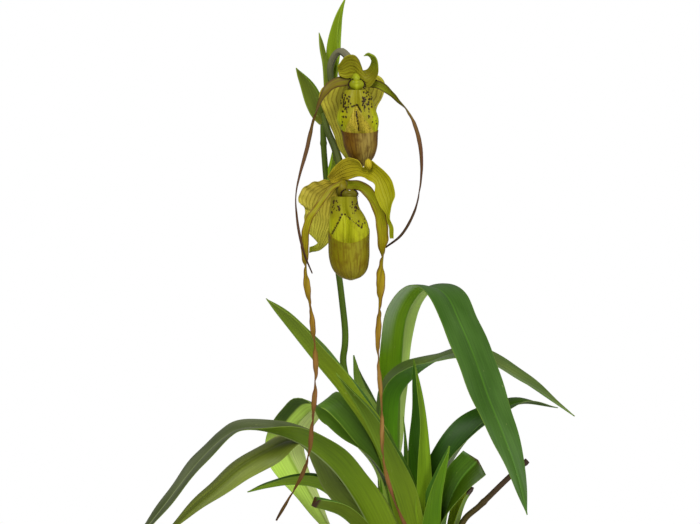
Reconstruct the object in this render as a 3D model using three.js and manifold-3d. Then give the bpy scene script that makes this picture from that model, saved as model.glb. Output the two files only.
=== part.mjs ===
// Phragmipedium orchid with two open flowers, growing in a round nursery pot.
//
// Units are millimetres, +Z is up, and the origin is the middle of the pot's
// flat underside. The plant faces -Y. Leaves, sepals, petals and bracts are
// thin blades: a grid of points over the midrib, thickened to a closed solid.
// Pieces that touch keep a small gap, cut from the piece that was placed later.

import * as THREE from "three";
import { mergeVertices } from "three/addons/utils/BufferGeometryUtils.js";
import Module from "manifold-3d";

const wasm = await Module();
wasm.setup();

// ---------------------------------------------------------------- sizes

const GAP = 0.3; // between neighbouring pieces
const TINY_CUT = 0.02; // mm3; a cut smaller than this is not worth making

const POT = {
  height: 118,
  rimRadius: 68,
  baseRadius: 48,
  wall: 1.8,
  rimWidth: 3.2,
  rimDepth: 9,
  rimRound: 1.2,
  floor: 2.4,
  footRadius: 2,
  sides: 40,
  drainHoles: 6,
  drainRadius: 4,
  drainRing: 30,
};

const MIX = {
  top: 106, // level of the packed bark
  edgeGap: 2, // between the mix and the wall at its top
  foot: 1, // rounding of its lowest edge
  sides: 28,
  chips: 24,
  chipLength: [12, 20],
  chipWidth: [8, 13],
  chipHeight: [4, 7],
  seed: 41,
};

const CROWN_TOP = 110; // where the growth bases end and the leaves begin
const LEAF_FOOT = CROWN_TOP + GAP;

// Growth bases on the creeping rhizome: [x, y, radius, height below the top]
const GROWTHS = [
  [-18, -6, 13, 22],
  [4, -10, 13, 24],
  [-10, 14, 13, 24],
  [20, 2, 12, 22],
];
const GROWTH_TAPER = 2;

// Roots from the rhizome into the mix: [start, bend, end]
const ROOTS = [
  [[-20, -8, 96], [-36, -20, 78], [-40, -24, 40]],
  [[-14, 16, 94], [-24, 34, 70], [-20, 36, 34]],
  [[6, -12, 94], [12, -34, 74], [8, -38, 36]],
  [[22, 4, 94], [38, 16, 76], [36, 20, 38]],
  [[2, 2, 92], [4, 6, 60], [-2, 2, 26]],
];
const ROOT_RADIUS = 2.2;

const STEM_RADIUS = 2.3;
const TIP_HALF_WIDTH = 0.9;

// How finely the pieces are divided
const DETAIL = {
  stemRows: 30,
  pedicelRows: 12,
  stemSides: 7,
  spikeRows: 12,
  rootRows: 8,
  rootSides: 6,
  growthSides: 14,
  lipSides: 14,
  cupRows: 7,
  lobeRows: 6,
  columnSides: 10,
  columnRings: 7,
  petalRows: 36,
  sepalRows: 17,
  dorsalColumns: 5,
  synsepalColumns: 6,
  bladeColumns: 5,
  smallBladeColumns: 3,
  smallBladeWidth: 12,
  bractRows: 9,
  leafRows: [8, 21],
  longLeaf: 340, // length that takes the most rows
};

// ------------------------------------------------------------ materials

/** A plain material in the part's own colour. */
function finish(color, roughness = 0.5) {
  return new THREE.MeshStandardMaterial({ color, roughness, metalness: 0 });
}

const MATERIALS = {
  pot: finish("#a4583a", 0.45),
  bark: finish("#6b4328", 0.9),
  rhizome: finish("#7d6a3a", 0.7),
  youngLeaf: finish("#6b8c1f"),
  leaf: finish("#3f6f22"),
  oldLeaf: finish("#2f5d2a"),
  stem: finish("#3f6b1e"),
  bract: finish("#7d9a1e"),
  ovary: finish("#5b6246"),
  oldSpike: finish("#4a3324", 0.7),
  sepal: finish("#a39a33"),
  petal: finish("#96762c"),
  darkPetal: finish("#5b3a2a"),
  lip: finish("#8f8a22", 0.4),
  darkLip: finish("#7a5431", 0.4),
  column: finish("#8c9428"),
};

// -------------------------------------------------------- small helpers

const vector = (p) => new THREE.Vector3(...p);
const mix = (a, b, t) => a + (b - a) * t;
const clamp01 = (t) => Math.min(1, Math.max(0, t));
const ease = (t) => clamp01(t) ** 2 * (3 - 2 * clamp01(t));

/** Reads a value that is given at even steps from the foot to the tip. */
function along(values, u) {
  if (values.length === 1) return values[0];
  return new THREE.SplineCurve(values.map((value, k) => new THREE.Vector2(k, value)))
    .getPoint(u).y;
}

/** Seeded random numbers from 0 to 1 (mulberry32). */
function randomFrom(seed) {
  let state = seed;
  return () => {
    state = (state + 0x6d2b79f5) | 0;
    let t = Math.imul(state ^ (state >>> 15), 1 | state);
    t = (t + Math.imul(t ^ (t >>> 7), 61 | t)) ^ t;
    return ((t ^ (t >>> 14)) >>> 0) / 4294967296;
  };
}

/** A smooth curve through hand-set points. */
function curveThrough(points) {
  const curve = new THREE.CatmullRomCurve3(points.map(vector), false, "centripetal");
  curve.arcLengthDivisions = 300;
  return curve;
}

// ------------------------------------------------------ solids and cuts

/** A closed geometry as a manifold solid. */
function toSolid(geometry) {
  const bare = geometry.clone();
  bare.deleteAttribute("normal");
  bare.deleteAttribute("uv");
  const merged = mergeVertices(bare, 1e-4);
  const corners = merged.index.array;
  const triangles = [];
  for (let i = 0; i < corners.length; i += 3) {
    const [a, b, c] = corners.subarray(i, i + 3);
    if (a !== b && b !== c && c !== a) triangles.push(a, b, c);
  }
  return new wasm.Manifold(
    new wasm.Mesh({
      numProp: 3,
      vertProperties: new Float32Array(merged.attributes.position.array),
      triVerts: new Uint32Array(triangles),
    }),
  );
}

/** A manifold solid as a geometry whose place is given by its anchor. */
function toGeometry(solid, anchor) {
  const mesh = solid.getMesh();
  const geometry = new THREE.BufferGeometry();
  geometry.setAttribute("position", new THREE.BufferAttribute(mesh.vertProperties, 3));
  geometry.setIndex(new THREE.BufferAttribute(mesh.triVerts, 1));
  geometry.translate(-anchor[0], -anchor[1], -anchor[2]);
  geometry.computeVertexNormals();
  return geometry;
}

/** The largest body of a solid, so that no scrap of a cut is left. */
function largestBody(solid) {
  const bodies = solid.decompose();
  return bodies.reduce((best, body) => (body.volume() > best.volume() ? body : best));
}

/** An indexed geometry from plain arrays. */
function indexed(positions, triangles) {
  const geometry = new THREE.BufferGeometry();
  geometry.setAttribute("position", new THREE.Float32BufferAttribute(positions, 3));
  geometry.setIndex(triangles);
  return geometry;
}

// --------------------------------------------------------------- blades

/** Unit normals of a point grid, from its neighbours along and across. */
function gridNormals(grid) {
  const last = (list) => list.length - 1;
  return grid.map((row, i) =>
    row.map((_, j) => {
      const lower = grid[Math.max(i - 1, 0)][j];
      const upper = grid[Math.min(i + 1, last(grid))][j];
      const left = row[Math.max(j - 1, 0)];
      const right = row[Math.min(j + 1, last(row))];
      const lengthwise = upper.clone().sub(lower);
      const crosswise = right.clone().sub(left);
      return lengthwise.cross(crosswise).normalize();
    }),
  );
}

/**
 * Thickens a grid of points to a closed solid. Both faces are split into the
 * same triangles, so a waved blade never crosses itself.
 */
function thicken(grid, thicknessAt) {
  const rows = grid.length;
  const columns = grid[0].length;
  const normals = gridNormals(grid);
  const positions = [];
  for (const side of [0.5, -0.5]) {
    grid.forEach((row, i) => {
      const thickness = thicknessAt(i / (rows - 1));
      row.forEach((point, j) => {
        const moved = point.clone().addScaledVector(normals[i][j], side * thickness);
        positions.push(moved.x, moved.y, moved.z);
      });
    });
  }
  const upper = (i, j) => i * columns + j;
  const lower = (i, j) => rows * columns + i * columns + j;
  const triangles = [];
  const quad = (a, b, c, d) => triangles.push(a, b, c, a, c, d);
  for (let i = 0; i < rows - 1; i += 1) {
    for (let j = 0; j < columns - 1; j += 1) {
      quad(upper(i, j), upper(i + 1, j), upper(i + 1, j + 1), upper(i, j + 1));
      quad(lower(i, j), lower(i, j + 1), lower(i + 1, j + 1), lower(i + 1, j));
    }
    quad(upper(i, 0), lower(i, 0), lower(i + 1, 0), upper(i + 1, 0));
    const edge = columns - 1;
    quad(upper(i, edge), upper(i + 1, edge), lower(i + 1, edge), lower(i, edge));
  }
  for (let j = 0; j < columns - 1; j += 1) {
    const end = rows - 1;
    quad(upper(0, j), upper(0, j + 1), lower(0, j + 1), lower(0, j));
    quad(upper(end, j), lower(end, j), lower(end, j + 1), upper(end, j + 1));
  }
  return indexed(positions, triangles);
}

/**
 * The point grid of a folded blade. Its midrib follows a curve, its two halves
 * rise from the midrib on the inner side by the fold angle. Facing says which
 * way the blade leans, and its inner side looks the opposite way. Roll turns
 * it about its midrib. Facing, fold and roll are degrees at even steps.
 */
function bladeGrid(blade, rows, columns, extra = 0) {
  const curve = curveThrough(blade.midrib);
  const grid = [];
  for (let i = 0; i < rows; i += 1) {
    const u = i / (rows - 1);
    const point = curve.getPointAt(u);
    const tangent = curve.getTangentAt(u);
    const heading = THREE.MathUtils.degToRad(along(blade.facing, u));
    const sideways = new THREE.Vector3(-Math.sin(heading), Math.cos(heading), 0);
    sideways.addScaledVector(tangent, -sideways.dot(tangent)).normalize();
    sideways.applyAxisAngle(tangent, THREE.MathUtils.degToRad(along(blade.roll ?? [0], u)));
    const inward = tangent.clone().cross(sideways);
    const fold = THREE.MathUtils.degToRad(along(blade.fold, u));
    const halfWidth = bladeHalfWidth(blade, u) + extra;
    const row = [];
    for (let j = 0; j < columns; j += 1) {
      const across = mix(-1, 1, j / (columns - 1));
      const reach = Math.abs(across) * halfWidth;
      row.push(
        point
          .clone()
          .addScaledVector(sideways, Math.sign(across) * reach * Math.cos(fold))
          .addScaledVector(inward, reach * Math.sin(fold)),
      );
    }
    grid.push(row);
  }
  return grid;
}

/** Half the blade's width, from its foot through its strap to its tip. */
function bladeHalfWidth(blade, u) {
  const strap = mix(blade.footWidth, blade.width, ease(u / 0.4)) / 2;
  const toTip = clamp01((u - blade.taperFrom) / (1 - blade.taperFrom));
  return Math.max(strap * (1 - toTip ** blade.point), TIP_HALF_WIDTH);
}

/** A folded blade as a solid. The extra makes it larger all round. */
function bladeSolid(blade, rows, columns, extra = 0) {
  const grid = bladeGrid(blade, rows, columns, extra);
  return toSolid(
    thicken(grid, (u) => mix(blade.thickness[0], blade.thickness[1], u) + 2 * extra),
  );
}

/**
 * A sheet between two rails, crowned along its middle. It stands for sepals,
 * whose two edges run differently.
 */
function sheetSolid(sheet, rows, columns, extra = 0) {
  const left = curveThrough(sheet.left).getSpacedPoints(rows - 1);
  const right = curveThrough(sheet.right).getSpacedPoints(rows - 1);
  const grid = left.map((start, i) => {
    const before = left[Math.max(i - 1, 0)].clone().add(right[Math.max(i - 1, 0)]);
    const afterIndex = Math.min(i + 1, rows - 1);
    const after = left[afterIndex].clone().add(right[afterIndex]);
    const across = right[i].clone().sub(start);
    const crown = after.sub(before).cross(across).normalize();
    const height = along(sheet.crown, i / (rows - 1));
    return Array.from({ length: columns }, (_, j) => {
      const t = j / (columns - 1);
      return start
        .clone()
        .addScaledVector(across, t)
        .addScaledVector(crown, height * 4 * t * (1 - t));
    });
  });
  return toSolid(thicken(grid, () => sheet.thickness + 2 * extra));
}

/** A narrow ribbon that twists as it hangs. */
function ribbonSolid(ribbon, rows, extra = 0) {
  const curve = curveThrough(ribbon.path);
  const length = curve.getLength();
  const grid = [];
  for (let i = 0; i < rows; i += 1) {
    const u = i / (rows - 1);
    const tangent = curve.getTangentAt(u);
    const flat = new THREE.Vector3(0, 1, 0);
    flat.addScaledVector(tangent, -flat.dot(tangent)).normalize();
    const sideways = tangent.clone().cross(flat);
    const turned = Math.max(0, u - ribbon.twistFrom) * length * (180 / ribbon.halfTurn);
    sideways.applyAxisAngle(tangent, THREE.MathUtils.degToRad(ribbon.roll + turned));
    const reach = along(ribbon.width, u) / 2 + extra;
    const point = curve.getPointAt(u);
    grid.push([-reach, reach].map((w) => point.clone().addScaledVector(sideways, w)));
  }
  return toSolid(thicken(grid, () => ribbon.thickness + 2 * extra));
}

// ---------------------------------------------------------------- tubes

/** A round tube along a curve, with its radius given at foot, middle and tip. */
function tubeSolid(tube, rows, sides, extra = 0) {
  const curve = curveThrough(tube.path);
  const frames = curve.computeFrenetFrames(rows - 1, false);
  const rings = [];
  for (let i = 0; i < rows; i += 1) {
    const u = i / (rows - 1);
    const centre = curve.getPointAt(u);
    if (i === 0) centre.addScaledVector(frames.tangents[0], -extra);
    if (i === rows - 1) centre.addScaledVector(frames.tangents[i], extra);
    const radius = along(tube.radius, u) + extra;
    const ring = [];
    for (let k = 0; k < sides; k += 1) {
      const angle = (2 * Math.PI * k) / sides;
      ring.push(
        centre
          .clone()
          .addScaledVector(frames.normals[i], radius * Math.cos(angle))
          .addScaledVector(frames.binormals[i], radius * Math.sin(angle)),
      );
    }
    rings.push(ring);
  }
  return toSolid(loft(rings));
}

/** Joins rings of points into a closed body with flat or pointed ends. */
function loft(rings) {
  const sides = rings[0].length;
  const positions = [];
  const triangles = [];
  for (const ring of rings) for (const p of ring) positions.push(p.x, p.y, p.z);
  const at = (i, k) => i * sides + (k % sides);
  for (let i = 0; i < rings.length - 1; i += 1) {
    for (let k = 0; k < sides; k += 1) {
      triangles.push(at(i, k), at(i, k + 1), at(i + 1, k + 1));
      triangles.push(at(i, k), at(i + 1, k + 1), at(i + 1, k));
    }
  }
  for (const [i, turn] of [[0, 1], [rings.length - 1, 0]]) {
    const middle = new THREE.Vector3();
    rings[i].forEach((p) => middle.addScaledVector(p, 1 / sides));
    positions.push(middle.x, middle.y, middle.z);
    const hub = positions.length / 3 - 1;
    for (let k = 0; k < sides; k += 1) {
      const pair = turn ? [at(i, k + 1), at(i, k)] : [at(i, k), at(i, k + 1)];
      triangles.push(hub, ...pair);
    }
  }
  return indexed(positions, triangles);
}

/** A turned body from its profile of [radius, height] pairs. */
function turnedSolid(profile, sides) {
  const points = profile.map(([radius, height]) => new THREE.Vector2(radius, height));
  const geometry = new THREE.LatheGeometry(points, sides);
  geometry.rotateX(Math.PI / 2);
  return toSolid(geometry);
}

/** An ellipsoid with few faces. */
function roundSolid(centre, radii, extra = 0) {
  const geometry = new THREE.SphereGeometry(1, DETAIL.columnSides, DETAIL.columnRings);
  geometry.scale(...radii.map((r) => r + extra));
  geometry.translate(...centre);
  return toSolid(geometry);
}

// ------------------------------------------------------ pot and its fill

/** The nursery pot: a tapered wall, a stepped rim and a flat floor. */
function pot(extra = 0) {
  const rimInner = POT.rimRadius - POT.rimWidth;
  const profile = [
    [0, -extra],
    [POT.baseRadius - POT.footRadius, -extra],
    [POT.baseRadius + extra, POT.footRadius],
    [rimInner + extra, POT.height - POT.rimDepth],
    [POT.rimRadius + extra, POT.height - POT.rimDepth + POT.rimRound],
    [POT.rimRadius + extra, POT.height - POT.rimRound],
    [POT.rimRadius - POT.rimRound, POT.height + extra],
    [rimInner - POT.wall - extra, POT.height + extra],
    [POT.baseRadius - POT.wall - extra, POT.floor + extra],
    [0, POT.floor + extra],
  ];
  let solid = turnedSolid(profile, POT.sides);
  if (extra > 0) return solid;
  for (let k = 0; k < POT.drainHoles; k += 1) {
    const angle = (2 * Math.PI * (k + 0.5)) / POT.drainHoles;
    const hole = new THREE.CylinderGeometry(POT.drainRadius, POT.drainRadius, 12, 12);
    hole.rotateX(Math.PI / 2);
    hole.translate(POT.drainRing * Math.cos(angle), POT.drainRing * Math.sin(angle), 0);
    solid = solid.subtract(toSolid(hole));
  }
  return solid;
}

/** The rhizome: growth bases joined by a creeping stem, with roots below. */
function rhizome(extra = 0) {
  let solid = null;
  const join = (piece) => {
    solid = solid ? solid.add(piece) : piece;
  };
  for (const [x, y, radius, height] of GROWTHS) {
    const base = new THREE.CylinderGeometry(
      radius - GROWTH_TAPER + extra,
      radius + extra,
      height + 2 * extra,
      DETAIL.growthSides,
    );
    base.rotateX(Math.PI / 2);
    base.translate(x, y, CROWN_TOP - height / 2);
    join(toSolid(base));
  }
  for (const path of ROOTS) {
    const radius = [ROOT_RADIUS, ROOT_RADIUS, ROOT_RADIUS * 0.6];
    join(tubeSolid({ path, radius }, DETAIL.rootRows, DETAIL.rootSides, extra));
  }
  return solid;
}

/** One bark chip: a box with uneven corners, turned and tilted by chance. */
function barkChip(random, x, y) {
  const between = ([low, high]) => mix(low, high, random());
  const chip = new THREE.BoxGeometry(
    between(MIX.chipLength),
    between(MIX.chipWidth),
    between(MIX.chipHeight),
  );
  const corners = toSolid(chip).getMesh();
  for (let i = 0; i < corners.vertProperties.length; i += 1) {
    corners.vertProperties[i] *= mix(0.72, 1.1, random());
  }
  const uneven = indexed(Array.from(corners.vertProperties), Array.from(corners.triVerts));
  uneven.rotateX(mix(-0.3, 0.3, random()));
  uneven.rotateY(mix(-0.25, 0.25, random()));
  uneven.rotateZ(random() * Math.PI);
  uneven.translate(x, y, MIX.top - 0.8 + random() * 1.2);
  return toSolid(uneven);
}

/** The potting mix: a plug of packed bark with loose chips on its surface. */
function pottingMix() {
  const topRadius = POT.rimRadius - POT.rimWidth - POT.wall - MIX.edgeGap;
  const floor = POT.floor + GAP;
  const wallSlope =
    (POT.rimRadius - POT.rimWidth - POT.baseRadius) / (POT.height - POT.rimDepth);
  const radiusAt = (z) => POT.baseRadius - POT.wall - GAP - 0.5 + wallSlope * z;
  const profile = [
    [0, floor],
    [radiusAt(floor) - MIX.foot, floor],
    [Math.min(radiusAt(MIX.top), topRadius), MIX.top],
    [0, MIX.top],
  ];
  let solid = turnedSolid(profile, MIX.sides);
  const random = randomFrom(MIX.seed);
  let placedChips = 0;
  while (placedChips < MIX.chips) {
    const radius = Math.sqrt(random()) * (topRadius - MIX.chipWidth[0]);
    const angle = random() * 2 * Math.PI;
    const x = radius * Math.cos(angle);
    const y = radius * Math.sin(angle);
    const nearest = Math.min(...GROWTHS.map(([gx, gy, r]) => Math.hypot(x - gx, y - gy) - r));
    if (nearest > 0) {
      solid = solid.add(barkChip(random, x, y));
      placedChips += 1;
    }
  }
  return solid;
}

// --------------------------------------------------------------- flowers

/** A lip's outline as a function, from its rows of [left, right, height]. */
function lipOutline(lip) {
  const side = (k) =>
    new THREE.SplineCurve(lip.outline.map((row) => new THREE.Vector2(row[k], row[2])));
  const [left, right] = [side(0), side(1)];
  return (t) => {
    const { x: from, y: height } = left.getPoint(t);
    const { x: to } = right.getPoint(t);
    return { halfWidth: (to - from) / 2, height, middle: (to + from) / 2 };
  };
}

/**
 * The lip: a slipper-shaped pouch, open behind its front rim, with two lobes
 * that fold inward over the opening and meet in a groove.
 */
function lipSolid(lip, extra = 0) {
  const outlineAt = lipOutline(lip);
  const place = (t, angle, inset, lift = 0) => {
    const { halfWidth, height, middle } = outlineAt(t);
    const across = Math.max(halfWidth - inset, 0.4);
    const depth = across * (Math.cos(angle) > 0 ? lip.frontDepth : lip.backDepth);
    return new THREE.Vector3(
      middle + across * Math.sin(angle),
      lip.forward - depth * Math.cos(angle),
      height + lift,
    );
  };
  const { lipSides, cupRows, lobeRows } = DETAIL;
  const angles = Array.from({ length: lipSides }, (_, k) => (2 * Math.PI * k) / lipSides);
  const rimAt = (angle) => lip.rim + lip.rimRise * (1 - Math.cos(angle)) * 0.5;
  const cup = [];
  for (let i = 0; i <= cupRows; i += 1) {
    cup.push(angles.map((a) => place((rimAt(a) * i) / cupRows, a, -extra, -extra * (i === 0))));
  }
  for (let i = cupRows; i >= 1; i -= 1) {
    const lift = lip.wall * 1.2 * (1 - i / cupRows);
    cup.push(angles.map((a) => place((rimAt(a) * i) / cupRows, a, lip.wall + extra, lift)));
  }
  const lobes = [];
  for (let i = 0; i <= lobeRows; i += 1) {
    const t = mix(lip.rim * 0.86, 1, i / lobeRows);
    lobes.push(
      angles.map((a) => {
        const edge = place(t, a, lip.wall * 0.4 - extra);
        if (Math.cos(a) <= 0) return edge;
        const groove = Math.exp(-((Math.sin(a) / 0.22) ** 2));
        const set = lip.lobeDepth * (1 - 0.35 * groove);
        edge.y = lip.forward - (lip.forward - edge.y) * set - extra;
        return edge;
      }),
    );
  }
  return toSolid(loft(cup)).add(toSolid(loft(lobes)));
}

const SHEET = { thickness: 0.9, crown: [1, 2.5, 0.5] };
const PETAL = { thickness: 0.8, roll: 20, twistFrom: 0.1 };

// Both flowers hold their points relative to the middle of the column.
const LOWER_FLOWER = {
  name: "lower",
  middle: [-47, -34, 379],
  finishes: { sepal: "sepal", petal: "petal", lip: "lip" },
  column: { body: [4, 7, 5.5], staminode: [1.6, -7.5, -5.4], shield: [7, 3, 3.4] },
  lip: {
    outline: [
      [3.2, 5.2, -64.4],
      [-3.4, 11.2, -61.6],
      [-8.2, 15.4, -56.8],
      [-10.8, 16.9, -49],
      [-11.3, 17, -38.5],
      [-11.3, 16.9, -28],
      [-10.9, 14.2, -20.5],
      [-10.6, 10.3, -14],
      [-9.4, 9, -7],
    ],
    forward: -7,
    frontDepth: 0.85,
    backDepth: 0.7,
    wall: 1,
    rim: 0.5,
    rimRise: 0.2,
    lobeDepth: 0.74,
  },
  dorsal: {
    ...SHEET,
    left: [[-12, 3, 6], [-8, -2, 12], [0, -7, 19], [8, -11, 18.4], [12.5, -13, 13],
      [17, -15, 18], [23, -18, 14], [31, -22, 6], [34, -26, -5], [31, -28, -14],
      [30, -27, -20], [33, -25, -28], [33, -23, -35]],
    right: [[-9, 6, 2], [-1, 3, 4], [4, -3, 5], [10, -8, 7], [15, -13, 5], [20, -18, 2],
      [21, -22, -6], [24, -25, -13], [28, -26, -19], [30, -24, -28], [31, -22, -35]],
  },
  synsepal: {
    ...SHEET,
    left: [[-3, 5, 4], [-14, 8, 4], [-23, 11, 2], [-30, 13, -3], [-32, 12, -11],
      [-28, 13, -15], [-28, 16, -25], [-25, 18, -33], [-19, 19, -38], [-19.5, 18, -41.5],
      [-24.5, 15, -44]],
    right: [[1, 7, 2], [-2, 11, -3], [-2, 14, -8], [-3, 17, -14], [-3, 18, -19],
      [-4, 19, -24], [-6, 20, -30], [-8, 20, -35], [-12, 20, -40.5], [-17, 19, -44.4],
      [-24.5, 16, -47]],
  },
  petals: {
    left: {
      ...PETAL,
      path: [[-3, -5, 2], [-8.5, -7, -1], [-17, -11, -12], [-24.5, -13, -23], [-27, -13, -36],
        [-26.5, -13, -52], [-25.5, -14, -71], [-22.5, -15, -91], [-20, -15, -112],
        [-20.5, -16, -136], [-22, -18, -163], [-28, -20, -194], [-47, -22, -228]],
      width: [3.2, 5.6, 4, 3.7, 3, 2],
      halfTurn: 26,
      twistFrom: 0.24,
    },
    right: {
      ...PETAL,
      path: [[2, -5, 1.5], [12, -8, 0], [19, -12, -7], [24.5, -13, -19], [26.5, -13, -42],
        [25, -14, -60], [23, -15, -91], [23, -16, -112], [25, -20, -152], [27, -24, -188],
        [34, -25, -215], [45, -26, -238]],
      width: [3.8, 7.2, 5.6, 3.4, 3, 2.9, 2.4],
      halfTurn: 34,
      twistFrom: 0.2,
    },
  },
};

const UPPER_FLOWER = {
  name: "upper",
  middle: [-39, -22, 452],
  finishes: { sepal: "sepal", petal: "darkPetal", lip: "darkLip" },
  column: { body: [4.2, 7, 5.5], staminode: [0.2, -7, -3.2], shield: [5.4, 3, 4] },
  lip: {
    outline: [
      [3.2, 5.6, -59.6],
      [-1.4, 9, -57],
      [-5.2, 12.2, -53],
      [-8.4, 14.4, -46],
      [-10, 14.9, -37],
      [-13.8, 15.8, -28],
      [-12.6, 13.6, -20],
      [-11, 11.4, -12],
      [-8.2, 8.6, -7],
    ],
    forward: -6.5,
    frontDepth: 0.85,
    backDepth: 0.7,
    wall: 1,
    rim: 0.5,
    rimRise: 0.06,
    lobeDepth: 0.78,
  },
  dorsal: {
    ...SHEET,
    crown: [2, 1, 1],
    left: [[-13, -11, 9], [-7, -14, 16], [-2, -11, 17], [2, -5, 13], [3, -2, 7], [7, -3, 7],
      [10, -6, 12], [10, -9, 14], [8, -11, 16], [5, -12, 16]],
    right: [[-12, -7, 3], [-7, -5, 1], [-2, -3, 2], [0, -2, 1], [4, -5, -3], [9, -9, -5],
      [14, -11, 2], [15, -13, 9], [13, -15, 15], [9, -16, 18]],
  },
  synsepal: {
    ...SHEET,
    left: [[-4, 5, 3], [-15, 6, 0], [-24, 7, -6], [-26, 9, -12], [-24, 10, -18],
      [-20, 11, -28], [-16, 11, -37], [-12, 11, -48], [-6, 11, -56]],
    right: [[4, 5, 4], [12, 6, 4], [18, 7, 1], [20, 8, -4], [18, 10, -12], [14, 11, -20],
      [14, 11, -29], [10, 11, -43], [-2, 11, -57]],
  },
  petals: {
    left: {
      ...PETAL,
      path: [[-4, -2, 0], [-17, -8, -4], [-26, -14, -19], [-34, -20, -48], [-41, -25, -75],
        [-41, -28, -92], [-36, -31, -117], [-30, -32, -132]],
      width: [6.6, 4.4, 2.2, 1.9, 1.4],
      halfTurn: 60,
    },
    right: {
      ...PETAL,
      path: [[4, -2, -1], [17, -7, -4], [30, -9, -15], [39, -12, -27.5], [44, -14, -47],
        [44, -16, -69], [40, -18, -89], [31, -19, -106], [20, -19, -115]],
      width: [6.6, 4.6, 2.5, 2.2, 1.4],
      halfTurn: 60,
    },
  },
};

/** The column with its shield-shaped staminode in front. */
function columnSolid(column, extra = 0) {
  const body = roundSolid([0, 0, 0], column.body, extra);
  return body.add(roundSolid(column.staminode, column.shield, extra));
}

// ---------------------------------------------------- stem, bracts, leaves

const STEM = {
  radius: [3, STEM_RADIUS, 2],
  path: [[5, 8, LEAF_FOOT], [-8, 7, 153], [-28, 6, 203], [-42, 5, 231], [-47.4, 4, 249],
    [-48.2, 4, 257], [-47, 3, 266], [-46.8, 3, 276], [-49, 2, 298], [-51.4, 2, 317],
    [-58, 2, 358], [-60, 2, 382], [-62, 2, 410], [-62, 2, 423], [-60, 2, 438], [-57, 2, 454]],
};

const PEDICELS = {
  upper_pedicel: {
    path: [[-57, -1.5, 452], [-57, -4, 462], [-54, -7, 469], [-50, -10, 472], [-45, -13, 468],
      [-40.5, -17.5, 457]],
    radius: [2, 2.4, 2.8],
  },
  lower_pedicel: {
    path: [[-62, -1.5, 429], [-59, -4, 417], [-54, -8, 405], [-50, -16, 392],
      [-47.5, -29, 382]],
    radius: [2, 2.5, 3],
  },
};

const BRACT = { thickness: [1, 0.7], taperFrom: 0.35, point: 1.4, fold: [78, 62, 40] };

const BRACTS = {
  bract_top: {
    ...BRACT,
    midrib: [[-58, 5, 450], [-59, 5, 474], [-55, 4, 491], [-50, 2, 503], [-46, -1, 510]],
    width: 19,
    footWidth: 12,
    facing: [165, 160, 160],
  },
  bract_bud: {
    ...BRACT,
    midrib: [[-61, 0, 446], [-62, -1, 463], [-64, -2, 474], [-65, -3, 485]],
    width: 8,
    footWidth: 6,
    taperFrom: 0.6,
    point: 2.6,
    facing: [190, 190, 190],
    thickness: [0.8, 0.6],
    fold: [56, 48, 40],
  },
  bract_left: {
    ...BRACT,
    midrib: [[-64, 1, 421.5], [-69, -1, 426.5], [-73.5, -3, 435.5], [-77.5, -4, 449],
      [-81, -4, 460.5]],
    width: 24,
    footWidth: 14,
    taperFrom: 0.4,
    point: 2.4,
    facing: [180, 175, 175],
  },
  bract_right: {
    ...BRACT,
    midrib: [[-57.5, 0, 374], [-54, -1, 390], [-55, -2, 406]],
    width: 12,
    footWidth: 9,
    facing: [10, 15, 20],
    thickness: [0.8, 0.7],
    fold: [60, 52, 40],
  },
};

const LEAF = { thickness: [1.3, 0.8], taperFrom: 0.58, point: 1.7 };
const CUT_LEAF = { thickness: [1.3, 1], taperFrom: 0.99, point: 1 };

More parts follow.
